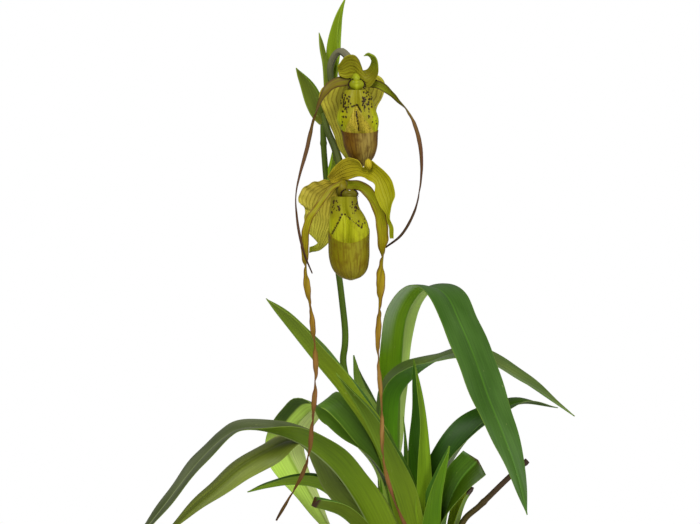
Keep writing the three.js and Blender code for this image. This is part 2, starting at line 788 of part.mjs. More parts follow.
// The midribs run from the growth base to the tip. A facing of 0 leans to +X
// and 90 leans away, to +Y.
const LEAVES = {
  leaf_right_big_arch: {
    ...LEAF,
    finish: "oldLeaf",
    midrib: [[-11, 20, LEAF_FOOT], [-9.5, 22, 169], [-8, 21, 250], [-5, 17, 283], [0, 12, 296],
      [7, 6, 305], [15.5, -6, 307], [24, -20, 301.5], [31.5, -34, 286], [41.5, -52, 262],
      [50.5, -68, 236], [60, -82, 212], [67.5, -92, 191], [75, -100, 161]],
    width: 34,
    footWidth: 26,
    taperFrom: 0.68,
    point: 2,
    facing: [-30, -38, -44, -50, -56, -66],
    fold: [64, 28, 16, 4, 5, 10],
  },
  leaf_left_front: {
    ...LEAF,
    finish: "leaf",
    midrib: [[-18, -11, LEAF_FOOT], [-30, -13, 142], [-46, -17, 170], [-59, -21, 186],
      [-78, -27, 201], [-104, -35, 211], [-119, -40, 211.5], [-129, -44, 206.8],
      [-146, -53, 191.5], [-169, -64, 163], [-186, -70, 141], [-200, -76, 118]],
    width: 31,
    footWidth: 40,
    facing: [172, 174, 177, 183, 185],
    fold: [74, 74, 72, 66, 42, 16, 6, 4, 4, 6, 8],
    roll: [0, 3, 9, 11, 9, -3, -12, -15, -15, -15, -15],
  },
  leaf_left_inner: {
    ...LEAF,
    finish: "youngLeaf",
    midrib: [[1, -13, LEAF_FOOT], [-7, -19, 150], [-15, -22, 175], [-23, -24, 196],
      [-35, -25, 221], [-53, -25, 249]],
    width: 32,
    footWidth: 26,
    taperFrom: 0.3,
    facing: [178, 174, 172],
    fold: [76, 68, 50],
  },
  leaf_right_inner: {
    ...LEAF,
    finish: "youngLeaf",
    midrib: [[22, -14, LEAF_FOOT], [19, -17, 143], [20, -20, 164], [22, -21, 176],
      [26, -20, 198]],
    width: 30,
    footWidth: 30,
    taperFrom: 0.3,
    facing: [4, 12, 20],
    fold: [72, 68, 50],
  },
  leaf_left_upright: {
    ...LEAF,
    finish: "youngLeaf",
    midrib: [[-4, -2, LEAF_FOOT], [-14, -5, 158], [-25, -7, 196], [-48, -8, 232],
      [-69, -8, 258], [-102, -8, 300]],
    width: 26,
    footWidth: 24,
    taperFrom: 0.68,
    facing: [178, 176, 174],
    fold: [76, 70, 52],
    point: 2.9,
  },
  leaf_right_back_arch: {
    ...LEAF,
    finish: "leaf",
    midrib: [[-12, 14, LEAF_FOOT], [-8, 13, 156], [-9.5, 12, 188], [-10, 10, 214],
      [-8, 9, 232], [1, 9, 243.5], [11, 10, 251.5], [22, 11, 257.5], [33, 13, 260],
      [46, 15, 258.5], [63, 18, 249.5], [81, 20.5, 238.5], [100, 23, 225.5], [116, 24, 214]],
    width: 32,
    footWidth: 30,
    facing: [4, 6, 10, 16, 20, 22],
    fold: [72, 72, 70, 68, 66, 44, 0, 10, 18, 20, 20],
    roll: [0, 0, 0, 0, 0, 0, 0, 20, 30, 32, 32],
  },
  leaf_left_back_arch: {
    ...LEAF,
    finish: "oldLeaf",
    midrib: [[-13, 9, LEAF_FOOT], [-18, 9, 142], [-25, 10, 177], [-42, 14, 199],
      [-53, 17, 212], [-62, 20, 219.5], [-70, 25, 219.5], [-77, 31, 213.5], [-84.5, 40, 203.5],
      [-88.5, 48, 194], [-88.5, 53, 184], [-83.5, 56, 173], [-74, 59, 156], [-61, 61, 133],
      [-51, 62, 115]],
    width: 33,
    footWidth: 32,
    taperFrom: 0.66,
    facing: [178, 152, 112, 108, 136, 144],
    fold: [68, 54, 38, 8, 8, 10],
    point: 1.6,
  },
  leaf_centre_upright: {
    ...LEAF,
    finish: "youngLeaf",
    midrib: [[18, -13, LEAF_FOOT], [14, -13, 159], [11.2, -13, 198], [7.8, -12, 226],
      [1, -10, 258]],
    width: 36,
    footWidth: 18,
    taperFrom: 0.3,
    facing: [8, 22, 28],
    fold: [78, 54, 45],
  },
  leaf_left_low: {
    ...LEAF,
    finish: "oldLeaf",
    midrib: [[-22, -1, LEAF_FOOT], [-35, 0, 138], [-50, 0, 152], [-61, -2, 166],
      [-68, -5, 182], [-74, -9, 195], [-84, -15, 201], [-101, -24, 195],
      [-120, -32, 184.5], [-136, -40, 171.5], [-150, -46, 160.5], [-172, -54, 139.5]],
    width: 28,
    footWidth: 32,
    facing: [176, 180, 196, 205, 208],
    fold: [72, 72, 68, 60, 38, 8, -20, -20, -18, -16, -12],
    roll: [0, 0, 0, 0, -4, -8, -31, -32, -32, -30, -28],
    taperFrom: 0.46,
  },
  leaf_right_arch: {
    ...LEAF,
    finish: "leaf",
    midrib: [[20, 8, LEAF_FOOT], [19, 8, 143], [22.5, 8, 170], [32, 8, 190],
      [51, 8, 211.5], [76, 8, 225], [103, 6, 222]],
    width: 32,
    footWidth: 24,
    facing: [10, 35, 30],
    fold: [68, 50, 40, 14, 12],
  },
  leaf_right_cut: {
    ...CUT_LEAF,
    finish: "leaf",
    midrib: [[23, -4, LEAF_FOOT], [22, -6, 130], [24, -7, 148], [28, -8, 161],
      [35, -10, 174.5], [46, -12, 187]],
    width: 24.5,
    footWidth: 20,
    facing: [10],
    fold: [66, 44, 26, 12],
    roll: [0, 10, 40, 62],
  },
  leaf_back_short: {
    ...LEAF,
    finish: "leaf",
    midrib: [[-4, 27, LEAF_FOOT], [-10, 32, 150], [-22, 34, 185], [-33, 34, 215],
      [-39, 33, 235], [-41, 31, 257]],
    width: 33,
    footWidth: 16,
    taperFrom: 0.35,
    facing: [150, 172, 172],
    fold: [62, 66, 64],
    point: 2.4,
  },
  leaf_left_cut: {
    ...CUT_LEAF,
    finish: "leaf",
    midrib: [[-25, -14, LEAF_FOOT], [-35, -20, 135], [-49, -24, 150], [-59, -26, 154.5],
      [-70, -28, 157.5]],
    width: 22,
    footWidth: 18,
    facing: [180, 190, 200],
    fold: [66, 50, 30],
  },
  leaf_left_short: {
    ...LEAF,
    finish: "leaf",
    midrib: [[-27, 12, LEAF_FOOT], [-42, 13, 140], [-63, 15, 163], [-82, 16, 167],
      [-100, 16, 165], [-116, 15, 161]],
    width: 21,
    footWidth: 18,
    facing: [176, 176, 180],
    fold: [62, 60, 44, 34],
  },
  leaf_right_cut_low: {
    ...CUT_LEAF,
    finish: "youngLeaf",
    midrib: [[31, 8, LEAF_FOOT], [33, 9, 139], [38, 9, 156], [44, 9, 165]],
    width: 17,
    footWidth: 12,
    facing: [10, 20, 25],
    fold: [60, 44, 36],
  },
  leaf_small_left: {
    ...LEAF,
    finish: "youngLeaf",
    midrib: [[-9, 1, LEAF_FOOT], [-14, -1, 150], [-22, -2, 179], [-37, -3, 214]],
    width: 9,
    footWidth: 8,
    taperFrom: 0.35,
    facing: [170, 165, 160],
    fold: [60, 50, 36],
  },
  leaf_small_centre: {
    ...LEAF,
    finish: "youngLeaf",
    midrib: [[2, -1, LEAF_FOOT], [0, -3, 160], [-3, -5, 190], [-6, -6, 217]],
    width: 9,
    footWidth: 8,
    taperFrom: 0.35,
    facing: [20, 30, 40],
    fold: [60, 50, 36],
  },
};

const OLD_SPIKE = {
  path: [[29, -1, LEAF_FOOT], [36, 0, 142], [48, -2, 154], [68, -4, 174], [81, -5, 186]],
  radius: [2.4, 2.1, 1.9],
};

// --------------------------------------------------------------- assembly

const orchid = new THREE.Group();
const placed = []; // what later pieces are cut clear of

/**
 * Places a piece. Whatever it would share with an earlier piece is cut from
 * it, with the usual gap, and its mesh stands at its anchor in its group.
 */
function place(name, material, build, { group = orchid, offset = [0, 0, 0], anchor } = {}) {
  const shifted = (solid) => solid.translate(offset);
  let solid = shifted(build(0));
  if (solid.volume() <= 0) throw new Error(`${name} is inside out`);
  for (const other of placed) {
    if (solid.intersect(other.clearance).volume() > TINY_CUT) {
      solid = largestBody(solid.subtract(other.clearance));
    }
  }
  placed.push({ name, clearance: shifted(build(GAP)) });
  const stand = anchor ?? offset;
  const mesh = new THREE.Mesh(toGeometry(solid, stand), MATERIALS[material]);
  mesh.name = name;
  const base = group.position;
  mesh.position.set(stand[0] - base.x, stand[1] - base.y, stand[2] - base.z);
  group.add(mesh);
  return mesh;
}

/** Places one flower: column, lip, petals and sepals in their own group. */
function placeFlower(flower) {
  const group = new THREE.Group();
  group.position.set(...flower.middle);
  orchid.add(group);
  const inFlower = { group, offset: flower.middle };
  const { sepal, petal, lip } = flower.finishes;
  const put = (part, material, build) =>
    place(`${flower.name}_${part}`, material, build, inFlower);
  put("column", "column", (extra) => columnSolid(flower.column, extra));
  put("lip", lip, (extra) => lipSolid(flower.lip, extra));
  for (const [side, ribbon] of Object.entries(flower.petals)) {
    put(`petal_${side}`, petal, (extra) => ribbonSolid(ribbon, DETAIL.petalRows, extra));
  }
  const { sepalRows, dorsalColumns, synsepalColumns } = DETAIL;
  put("dorsal_sepal", sepal, (extra) =>
    sheetSolid(flower.dorsal, sepalRows, dorsalColumns, extra),
  );
  put("synsepal", sepal, (extra) =>
    sheetSolid(flower.synsepal, sepalRows, synsepalColumns, extra),
  );
}

place("pot", "pot", pot);
place("rhizome", "rhizome", rhizome);
place("potting_mix", "bark", pottingMix);
const { stemRows, pedicelRows, spikeRows, stemSides, bladeColumns } = DETAIL;
place("flower_stem", "stem", (extra) => tubeSolid(STEM, stemRows, stemSides, extra), {
  anchor: STEM.path[0],
});
for (const [name, pedicel] of Object.entries(PEDICELS)) {
  place(name, "ovary", (extra) => tubeSolid(pedicel, pedicelRows, stemSides, extra), {
    anchor: pedicel.path[0],
  });
}
placeFlower(UPPER_FLOWER);
placeFlower(LOWER_FLOWER);
for (const [name, bract] of Object.entries(BRACTS)) {
  place(name, "bract", (extra) => bladeSolid(bract, DETAIL.bractRows, bladeColumns, extra), {
    anchor: bract.midrib[0],
  });
}
place(
  "old_flower_spike",
  "oldSpike",
  (extra) => tubeSolid(OLD_SPIKE, spikeRows, stemSides, extra),
  { anchor: OLD_SPIKE.path[0] },
);
for (const [name, leaf] of Object.entries(LEAVES)) {
  const share = clamp01(curveThrough(leaf.midrib).getLength() / DETAIL.longLeaf);
  const rows = Math.round(mix(...DETAIL.leafRows, share));
  const columns =
    leaf.width < DETAIL.smallBladeWidth ? DETAIL.smallBladeColumns : bladeColumns;
  place(name, leaf.finish, (extra) => bladeSolid(leaf, rows, columns, extra), {
    anchor: leaf.midrib[0],
  });
}

export default orchid;
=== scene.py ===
"""A phragmipedium orchid with two open flowers, growing in a round nursery pot.

Sizes and places are millimetres, in the model's own frame: +Z is up, the origin
is the middle of the pot's underside and the plant faces -Y. They become metres
when a mesh is made. Each piece of the plant is a class that holds its sizes,
builds its mesh as closed skins of points and dresses it in its own tissue.
"""

from __future__ import annotations

import functools
import logging
import math
import random
from dataclasses import dataclass, replace
from enum import Enum
from typing import Any, NamedTuple, Sequence

import bmesh
import bpy
import numpy as np
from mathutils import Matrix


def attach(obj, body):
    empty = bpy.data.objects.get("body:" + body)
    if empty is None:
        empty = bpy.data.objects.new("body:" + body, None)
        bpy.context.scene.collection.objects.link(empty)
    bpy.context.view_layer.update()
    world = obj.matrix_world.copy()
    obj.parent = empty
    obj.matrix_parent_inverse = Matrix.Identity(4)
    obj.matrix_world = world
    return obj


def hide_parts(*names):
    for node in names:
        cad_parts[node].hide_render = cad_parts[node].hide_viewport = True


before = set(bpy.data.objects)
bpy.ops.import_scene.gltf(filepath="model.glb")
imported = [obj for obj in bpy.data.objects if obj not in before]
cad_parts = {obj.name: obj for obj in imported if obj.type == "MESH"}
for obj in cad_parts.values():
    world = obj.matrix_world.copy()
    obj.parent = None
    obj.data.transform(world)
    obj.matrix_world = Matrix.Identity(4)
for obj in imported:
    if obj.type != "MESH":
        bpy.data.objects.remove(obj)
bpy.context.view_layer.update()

log = logging.getLogger("orchid")

MM = 0.001  # metres
BODY = "root"

Points = Sequence[Sequence[float]]
Vector = tuple[float, float, float]
Array = np.ndarray


# ---- numbers


def hermite(p1: Array, p2: Array, v1: Array, v2: Array, t: Array) -> Array:
    """Goes from p1 to p2 as t goes from 0 to 1, leaving at v1 and arriving at v2."""
    return ((2 * p1 - 2 * p2 + v1 + v2) * t**3 + (-3 * p1 + 3 * p2 - 2 * v1 - v2) * t**2
            + v1 * t + p1)


def along(values: Sequence[float], u: Array) -> Array:
    """Reads values that are given at even steps from foot to tip.

    Args:
        values: one or more numbers.
        u: places from 0 to 1.

    Returns:
        The smoothly blended value at each place.
    """
    held = np.array(values, float)
    if len(held) == 1:
        return np.full_like(u, held[0])
    last = len(held) - 1
    at = np.clip(u, 0, 1) * last
    k = np.minimum(at.astype(int), last - 1)
    before, p1, p2, after = (held[np.clip(k + step, 0, last)] for step in (-1, 0, 1, 2))
    return hermite(p1, p2, (p2 - before) / 2, (after - p1) / 2, at - k)


def ease(t: Array) -> Array:
    """Blends smoothly from 0 to 1 as t goes from 0 to 1."""
    t = np.clip(t, 0, 1)
    return t * t * (3 - 2 * t)


def bell(t: Array) -> Array:
    """Returns 1 at 0, falling off smoothly to nothing on both sides."""
    return np.exp(-(t**2))


def unit(vectors: Array) -> Array:
    """Scales vectors to length 1."""
    return vectors / np.maximum(np.linalg.norm(vectors, axis=-1, keepdims=True), 1e-9)


def turn(vectors: Array, axes: Array, degrees: Array) -> Array:
    """Turns each vector about its unit axis by its angle."""
    angle = np.radians(degrees)[..., None]
    lift = (vectors * axes).sum(-1, keepdims=True)
    return (vectors * np.cos(angle) + np.cross(axes, vectors) * np.sin(angle)
            + axes * lift * (1 - np.cos(angle)))


def circle(count: int) -> Array:
    """Returns even angles round a circle."""
    return np.linspace(0, 2 * np.pi, count, endpoint=False)


def ring(x: float, y: float, radius: Any, level: Any, angle: Array) -> Array:
    """Returns points round an upright axis at x and y."""
    return np.stack([x + radius * np.cos(angle), y + radius * np.sin(angle),
                     level + 0 * angle], axis=-1)


def tube(points: Array, first: Array, second: Array, radius: Array, angle: Array) -> Array:
    """Returns rings round a line of points, in the plane of two directions at each."""
    return (points[:, None] + first[:, None] * (radius * np.cos(angle))[..., None]
            + second[:, None] * (radius * np.sin(angle))[..., None])


def edge_waves(seed: int, u: Array, v: Array, length: float, steps: tuple[float, float]) -> Array:
    """Draws the waves of a blade's two edges.

    Args:
        seed: sets the draw.
        u: places along the blade from 0 to 1.
        v: places across it from -1 to 1.
        length: the blade's length in mm.
        steps: the shortest and longest wave, in mm.

    Returns:
        A height for each point, up to 1 at the edges and none in the middle.
    """
    draw = random.Random(seed)
    lift = np.zeros((u.size, v.size))
    for side in (-1, 1):
        step, start = draw.uniform(*steps), draw.uniform(0, 2 * math.pi)
        wave = np.sin(2 * np.pi * u * length / step + start)[:, None]
        lift += wave * np.clip(v * side, 0, 1) ** 2
    return lift


class Path:
    """A smooth curve through given points, read by its length.

    It is a centripetal Catmull-Rom curve, which keeps close to its points.
    """

    STEPS = 60  # samples in each span
    REACH = 0.002  # share of the length that a tangent is taken over

    def __init__(self, points: Points) -> None:
        """Samples the curve.

        Args:
            points: places that the curve runs through, in mm.
        """
        knots = np.array(points, float)
        held = np.vstack([2 * knots[0] - knots[1], knots, 2 * knots[-1] - knots[-2]])
        spans = [self._span(*held[k : k + 4]) for k in range(len(knots) - 1)]
        self.samples = np.vstack([*spans, knots[-1:]])
        steps = np.linalg.norm(np.diff(self.samples, axis=0), axis=1)
        self.lengths = np.concatenate([[0], np.cumsum(steps)])
        self.length = float(self.lengths[-1])

    def _span(self, p0: Array, p1: Array, p2: Array, p3: Array) -> Array:
        """Samples one span.

        Args:
            p0: the point before the span.
            p1: its start.
            p2: its end.
            p3: the point after it.

        Returns:
            Points from p1 to just before p2.
        """
        d0, d1, d2 = (math.sqrt(np.linalg.norm(b - a)) for a, b in ((p0, p1), (p1, p2), (p2, p3)))
        v1 = ((p1 - p0) / d0 - (p2 - p0) / (d0 + d1) + (p2 - p1) / d1) * d1
        v2 = ((p2 - p1) / d1 - (p3 - p1) / (d1 + d2) + (p3 - p2) / d2) * d1
        return hermite(p1, p2, v1, v2, np.linspace(0, 1, self.STEPS, endpoint=False)[:, None])

    def points(self, u: Array) -> Array:
        """Returns the points at shares u of the length."""
        at = np.clip(u, 0, 1) * self.length
        return np.stack([np.interp(at, self.lengths, column) for column in self.samples.T], axis=-1)

    def tangents(self, u: Array) -> Array:
        """Returns the unit tangents at shares u of the length."""
        return unit(self.points(u + self.REACH) - self.points(u - self.REACH))


# ---- meshes


class Label(NamedTuple):
    """A piece's name, the solid that it replaces and the finish in the record."""

    name: str
    node: str
    slot: str


class Shape:
    """Gathers closed skins of points into the mesh of one piece."""

    SHARP = math.radians(50)  # faces that meet at more than this show an edge

    def __init__(self) -> None:
        """Starts an empty shape."""
        self.points: list[Array] = []
        self.places: list[Array] = []
        self.shares: list[Array] = []
        self.faces: list[list[int]] = []
        self.finishes: list[int] = []
        self.count = 0

    def add_rings(
        self, rings: Array, place: Array | None = None, share: Array | None = None,
        finish: int = 0, joined: bool = False,
    ) -> None:
        """Adds a body whose skin is rings of points.

        Args:
            rings: rows of closed rings, as (rows, points, 3).
            place: millimetres across and along, and the side, for each point.
            share: the same place as shares of the piece, for each point.
            finish: which of the piece's materials the skin has.
            joined: the last ring meets the first, so there are no ends.
        """
        rows, sides = rings.shape[:2]
        corner = np.arange(rows * sides).reshape(rows, sides)
        nearer = corner if joined else corner[:-1]
        further = np.roll(corner, -1, axis=0) if joined else corner[1:]
        quads = np.stack(
            [nearer, np.roll(nearer, -1, 1), np.roll(further, -1, 1), further], axis=-1
        ).reshape(-1, 4)
        points = rings.reshape(-1, 3)
        faces = quads.tolist()
        a, b, c, d = (points[quads[:, k]] - points.mean(axis=0) for k in range(4))
        volume = float((np.cross(a - c, b - d) * (a + b + c + d)).sum())
        if not joined:
            faces += [corner[0][::-1].tolist(), corner[-1].tolist()]
        self._add(points, faces, volume < 0, place, share, finish)

    def add_sheet(
        self, middle: Array, above: Array, below: Array, half: Array, v: Array, u: Array,
        length: float,
    ) -> None:
        """Adds a thin body on both sides of a sheet of points.

        Args:
            middle: the sheet, as (rows, columns, 3).
            above: how far the upper face stands off it, for each point.
            below: how far the lower face stands off it, for each point.
            half: half the sheet's width in mm, for each row.
            v: places across it from -1 to 1.
            u: places along it from 0 to 1.
            length: the sheet's length in mm.
        """
        normals = unit(np.cross(np.gradient(middle, axis=0), np.gradient(middle, axis=1)))
        upper, lower = middle + normals * above[..., None], middle - normals * below[..., None]
        grid = np.ones(middle.shape[:2])
        side = np.concatenate([0 * grid, grid], axis=1)
        across, on, lengthwise = (
            np.concatenate([values * grid, (values * grid)[:, ::-1]], axis=1)
            for values in (half * v, v, u[:, None])
        )
        self.add_rings(np.concatenate([upper, lower[:, ::-1]], axis=1),
                       np.stack([across, lengthwise * length, side], axis=-1),
                       np.stack([on, lengthwise, side], axis=-1))

    def add_hull(self, points: Array, faces: list[list[int]]) -> None:
        """Adds a convex body.

        Args:
            points: its corners.
            faces: the corners of each face.
        """
        a, b, c = (points[faces[0][k]] for k in range(3))
        outward = float(np.dot(np.cross(b - a, c - a), a - points.mean(axis=0)))
        self._add(points, faces, outward < 0)

    def _add(
        self, points: Array, faces: list[list[int]], inside_out: bool,
        place: Array | None = None, share: Array | None = None, finish: int = 0,
    ) -> None:
        """Adds a closed body.

        Args:
            points: its points.
            faces: the points of each face.
            inside_out: whether the faces have to be turned about.
            place: as add_rings takes it.
            share: as add_rings takes it.
            finish: which of the piece's materials the body has.
        """
        step = -1 if inside_out else 1
        self.faces += [[k + self.count for k in face[::step]] for face in faces]
        self.finishes += [finish] * len(faces)
        self.points.append(points)
        for marks, values in ((self.places, place), (self.shares, share)):
            marks.append(0 * points if values is None else values.reshape(-1, 3))
        self.count += len(points)

    def make(
        self, label: Label, middle: Vector, materials: Sequence[bpy.types.Material],
    ) -> bpy.types.Object:
        """Makes the piece and lets it stand for its solid.

        Args:
            label: its name, its solid and its finish.
            middle: the place that its points are set from.
            materials: its materials, by finish number.

        Returns:
            The new object.
        """
        mesh = bpy.data.meshes.new(label.name)
        mesh.from_pydata(((np.vstack(self.points) + middle) * MM).tolist(), [], self.faces)
        for title, rows in (("place", self.places), ("share", self.shares)):
            mark = mesh.attributes.new(title, "FLOAT_VECTOR", "POINT")
            mark.data.foreach_set("vector", np.vstack(rows).astype(np.float32).ravel())
        for material in materials:
            mesh.materials.append(material)
        mesh.polygons.foreach_set("material_index", self.finishes)
        mesh.shade_smooth()
        mesh.set_sharp_from_angle(angle=self.SHARP)
        piece = add_object(label.name, mesh)
        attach(piece, BODY)
        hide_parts(label.node)
        log.info("%s: %d points", label.name, self.count)
        return piece


def add_object(name: str, data: bpy.types.ID) -> bpy.types.Object:
    """Puts a mesh, a lamp or a camera into the scene."""
    made = bpy.data.objects.new(name, data)
    bpy.context.scene.collection.objects.link(made)
    return made


class Piece:
    """A piece of the model, which fills a shape with its own closed skins."""

    tissue: Tissue  # what it is made of, unless it has a list of materials

    def fill(self, shape: Shape) -> None:
        """Adds the piece's skins to the shape."""
        raise NotImplementedError

    def materials(self) -> list[bpy.types.Material]:
        """Returns the piece's materials, by finish number."""
        return [self.tissue.material()]

    def build(self, label: Label, middle: Vector = (0, 0, 0)) -> bpy.types.Object:
        """Builds the piece.

        Args:
            label: its name, its solid and its finish.
            middle: the place that its points are set from.

        Returns:
            The new object.
        """
        shape = Shape()
        self.fill(shape)
        return shape.make(label, middle, self.materials())


# ---- materials


def srgb(code: str) -> tuple[float, float, float, float]:
    """Turns an sRGB hex colour to Blender's linear colour.

    Args:
        code: a colour such as #4f8500.

    Returns:
        Linear red, green and blue, and an alpha of 1.
    """
    values = [int(code[k : k + 2], 16) / 255 for k in (1, 3, 5)]
    linear = [v / 12.92 if v <= 0.04045 else ((v + 0.055) / 1.055) ** 2.4 for v in values]
    return (*linear, 1.0)


def feed(tree: bpy.types.NodeTree, node: bpy.types.Node, inputs: dict[str | int, Any]) -> None:
    """Sets or links a node's inputs.

    Args:
        tree: the material's nodes.
        node: the one that is fed.
        inputs: a number, a colour, a node or a socket for each input.
    """
    for key, value in inputs.items():
        if isinstance(value, bpy.types.Node):
            tree.links.new(value.outputs[0], node.inputs[key])
        elif isinstance(value, bpy.types.NodeSocket):
            tree.links.new(value, node.inputs[key])
        else:
            node.inputs[key].default_value = srgb(value) if isinstance(value, str) else value


def add_node(
    tree: bpy.types.NodeTree, kind: str, settings: dict[str, Any] | None = None,
    inputs: dict[str | int, Any] | None = None,
) -> bpy.types.Node:
    """Adds one shader node with its settings and links.

    Args:
        tree: the material's nodes.
        kind: the node's type, without its prefix.
        settings: properties by name; colors are spread evenly over a ramp.
        inputs: a number, a colour, a node or a socket for each input.

    Returns:
        The node.
    """
    node = tree.nodes.new("ShaderNode" + kind)
    for name, value in (settings or {}).items():
        if name == "colors":
            elements = node.color_ramp.elements
            while len(elements) < len(value):
                elements.new(1.0)
            for k, (element, color) in enumerate(zip(elements, value)):
                element.position, element.color = k / (len(value) - 1), srgb(color)
        else:
            setattr(node, name, value)
    feed(tree, node, inputs or {})
    return node


MIX = {"data_type": "RGBA"}  # inputs are 0 factor, 6 and 7 colours, output is 2
SMOOTH = {"interpolation_type": "SMOOTHSTEP"}
TIMES = {"operation": "MULTIPLY"}
TIMES_PLUS = {"operation": "MULTIPLY_ADD"}  # input 0 times input 1, plus input 2
PLUS = {"operation": "ADD"}
SIZE = {"operation": "ABSOLUTE"}
CUTICLE_IOR = 1.45  # the wax skin of leaves and petals
PLAIN_GLOSS = 0.5  # how much plastic, bark and board mirror
LEAF_GLOSS = 0.2  # the wax mirrors less
PETAL_GLOSS = 0.1  # the flowers have less wax
DRIED = "#3b2412"  # cut ends


def clouds(across: float, length: float, jump: float = 0) -> Vector:
    """Returns a pattern's scale from its clouds' size in mm and its jump between faces."""
    return (1 / across, 1 / length, jump)


class Coat:
    """A material in the making."""

    def __init__(self, name: str) -> None:
        """Starts the material.

        Args:
            name: what the real stuff is called.
        """
        self.material = bpy.data.materials.new(name)
        self.material.use_nodes = True
        self.tree = self.material.node_tree
        self.add = functools.partial(add_node, self.tree)

    def marks(self) -> tuple[Any, Any, Any]:
        """Reads the two marks that a mesh carries.

        Returns:
            The place as one socket, its three values, and those of the share.
        """
        place, share = (self.add("Attribute", {"attribute_name": title}).outputs["Vector"]
                        for title in ("place", "share"))
        mm, part = (self.add("SeparateXYZ", inputs={0: mark}).outputs for mark in (place, share))
        return place, mm, part

    def finish(
        self, color: Any, height: Any, bump: float, depth: float, roughness: Any,
        ior: float = CUTICLE_IOR, gloss: float = PETAL_GLOSS,
    ) -> None:
        """Links the colour and the relief and sets the gloss.

        Args:
            color: where the colour comes from.
            height: where the relief comes from.
            bump: how strong the relief is, from 0 to 1.
            depth: how deep it is, in mm.
            roughness: a number, or a node where it varies.
            ior: the index of refraction.
            gloss: how much the surface mirrors.
        """
        relief = self.add("Bump", inputs={"Height": height, "Strength": bump,
                                          "Distance": depth * MM})
        feed(self.tree, self.tree.nodes["Principled BSDF"], {
            "Base Color": color, "Normal": relief, "Roughness": roughness, "IOR": ior,
            "Specular IOR Level": gloss})


@dataclass(frozen=True)
class Patch:
    """A lighter or darker stretch of one arm of a leaf, on one of its faces.

    Most stand for light or shade: painted highlights, painted light that
    shines through a blade, and painted shadows.
    """

    color: str
    arm: int  # -1 or 1
    face: int  # 0 upper, 1 lower
    start: float = 0.06  # share of the arm's width where it begins
    blur: float = 0.12
    strength: float = 0.9
    reach: tuple[float, float] = (0, 1)  # shares of the leaf's length

    END_BLUR = 0.05  # share of the length that each end fades over, both ways

    def cover(self, add: Any, part: Any, side: Any, ragged: bpy.types.Node) -> bpy.types.Node:
        """Adds the nodes that say how much of the patch covers each point.

        Args:
            add: adds a node to the leaf's material.
            part: shares across and along the leaf.
            side: the face, 0 upper and 1 lower.
            ragged: a pattern that frays the patch's border.

        Returns:
            The node whose value is the cover.
        """
        across = add("Math", TIMES, {0: part[0], 1: self.arm})
        across = add("Math", TIMES_PLUS, {0: ragged, 1: self.blur / 2, 2: across})
        start = self.start + self.blur / 4
        covers = [add("MapRange", inputs={0: side, 3: 1 - self.face, 4: self.face})]
        for border, low, high in ((self.reach[0], 0, 1), (self.reach[1], 1, 0)):
            if 0 < border < 1:
                covers.append(add("MapRange", SMOOTH, {
                    0: part[1], 1: border - self.END_BLUR, 2: border + self.END_BLUR,
                    3: low, 4: high}))
        cover = add("MapRange", SMOOTH,
                    {0: across, 1: start, 2: start + self.blur, 3: 0, 4: self.strength})
        for other in covers:
            cover = add("Math", TIMES, {0: cover, 1: other})
        return cover


class Tissue:
    """A stuff of the plant or its pot. Each kind paints a material of its own."""

    name: str

    @functools.cache
    def material(self) -> bpy.types.Material:
        """Makes the stuff's material, once.

        Returns:
            The material.
        """
        coat = Coat(self.name)
        self.paint(coat)
        return coat.material

    def paint(self, coat: Coat) -> None:
        """Adds the nodes that give the material its colour, relief and gloss."""
        raise NotImplementedError


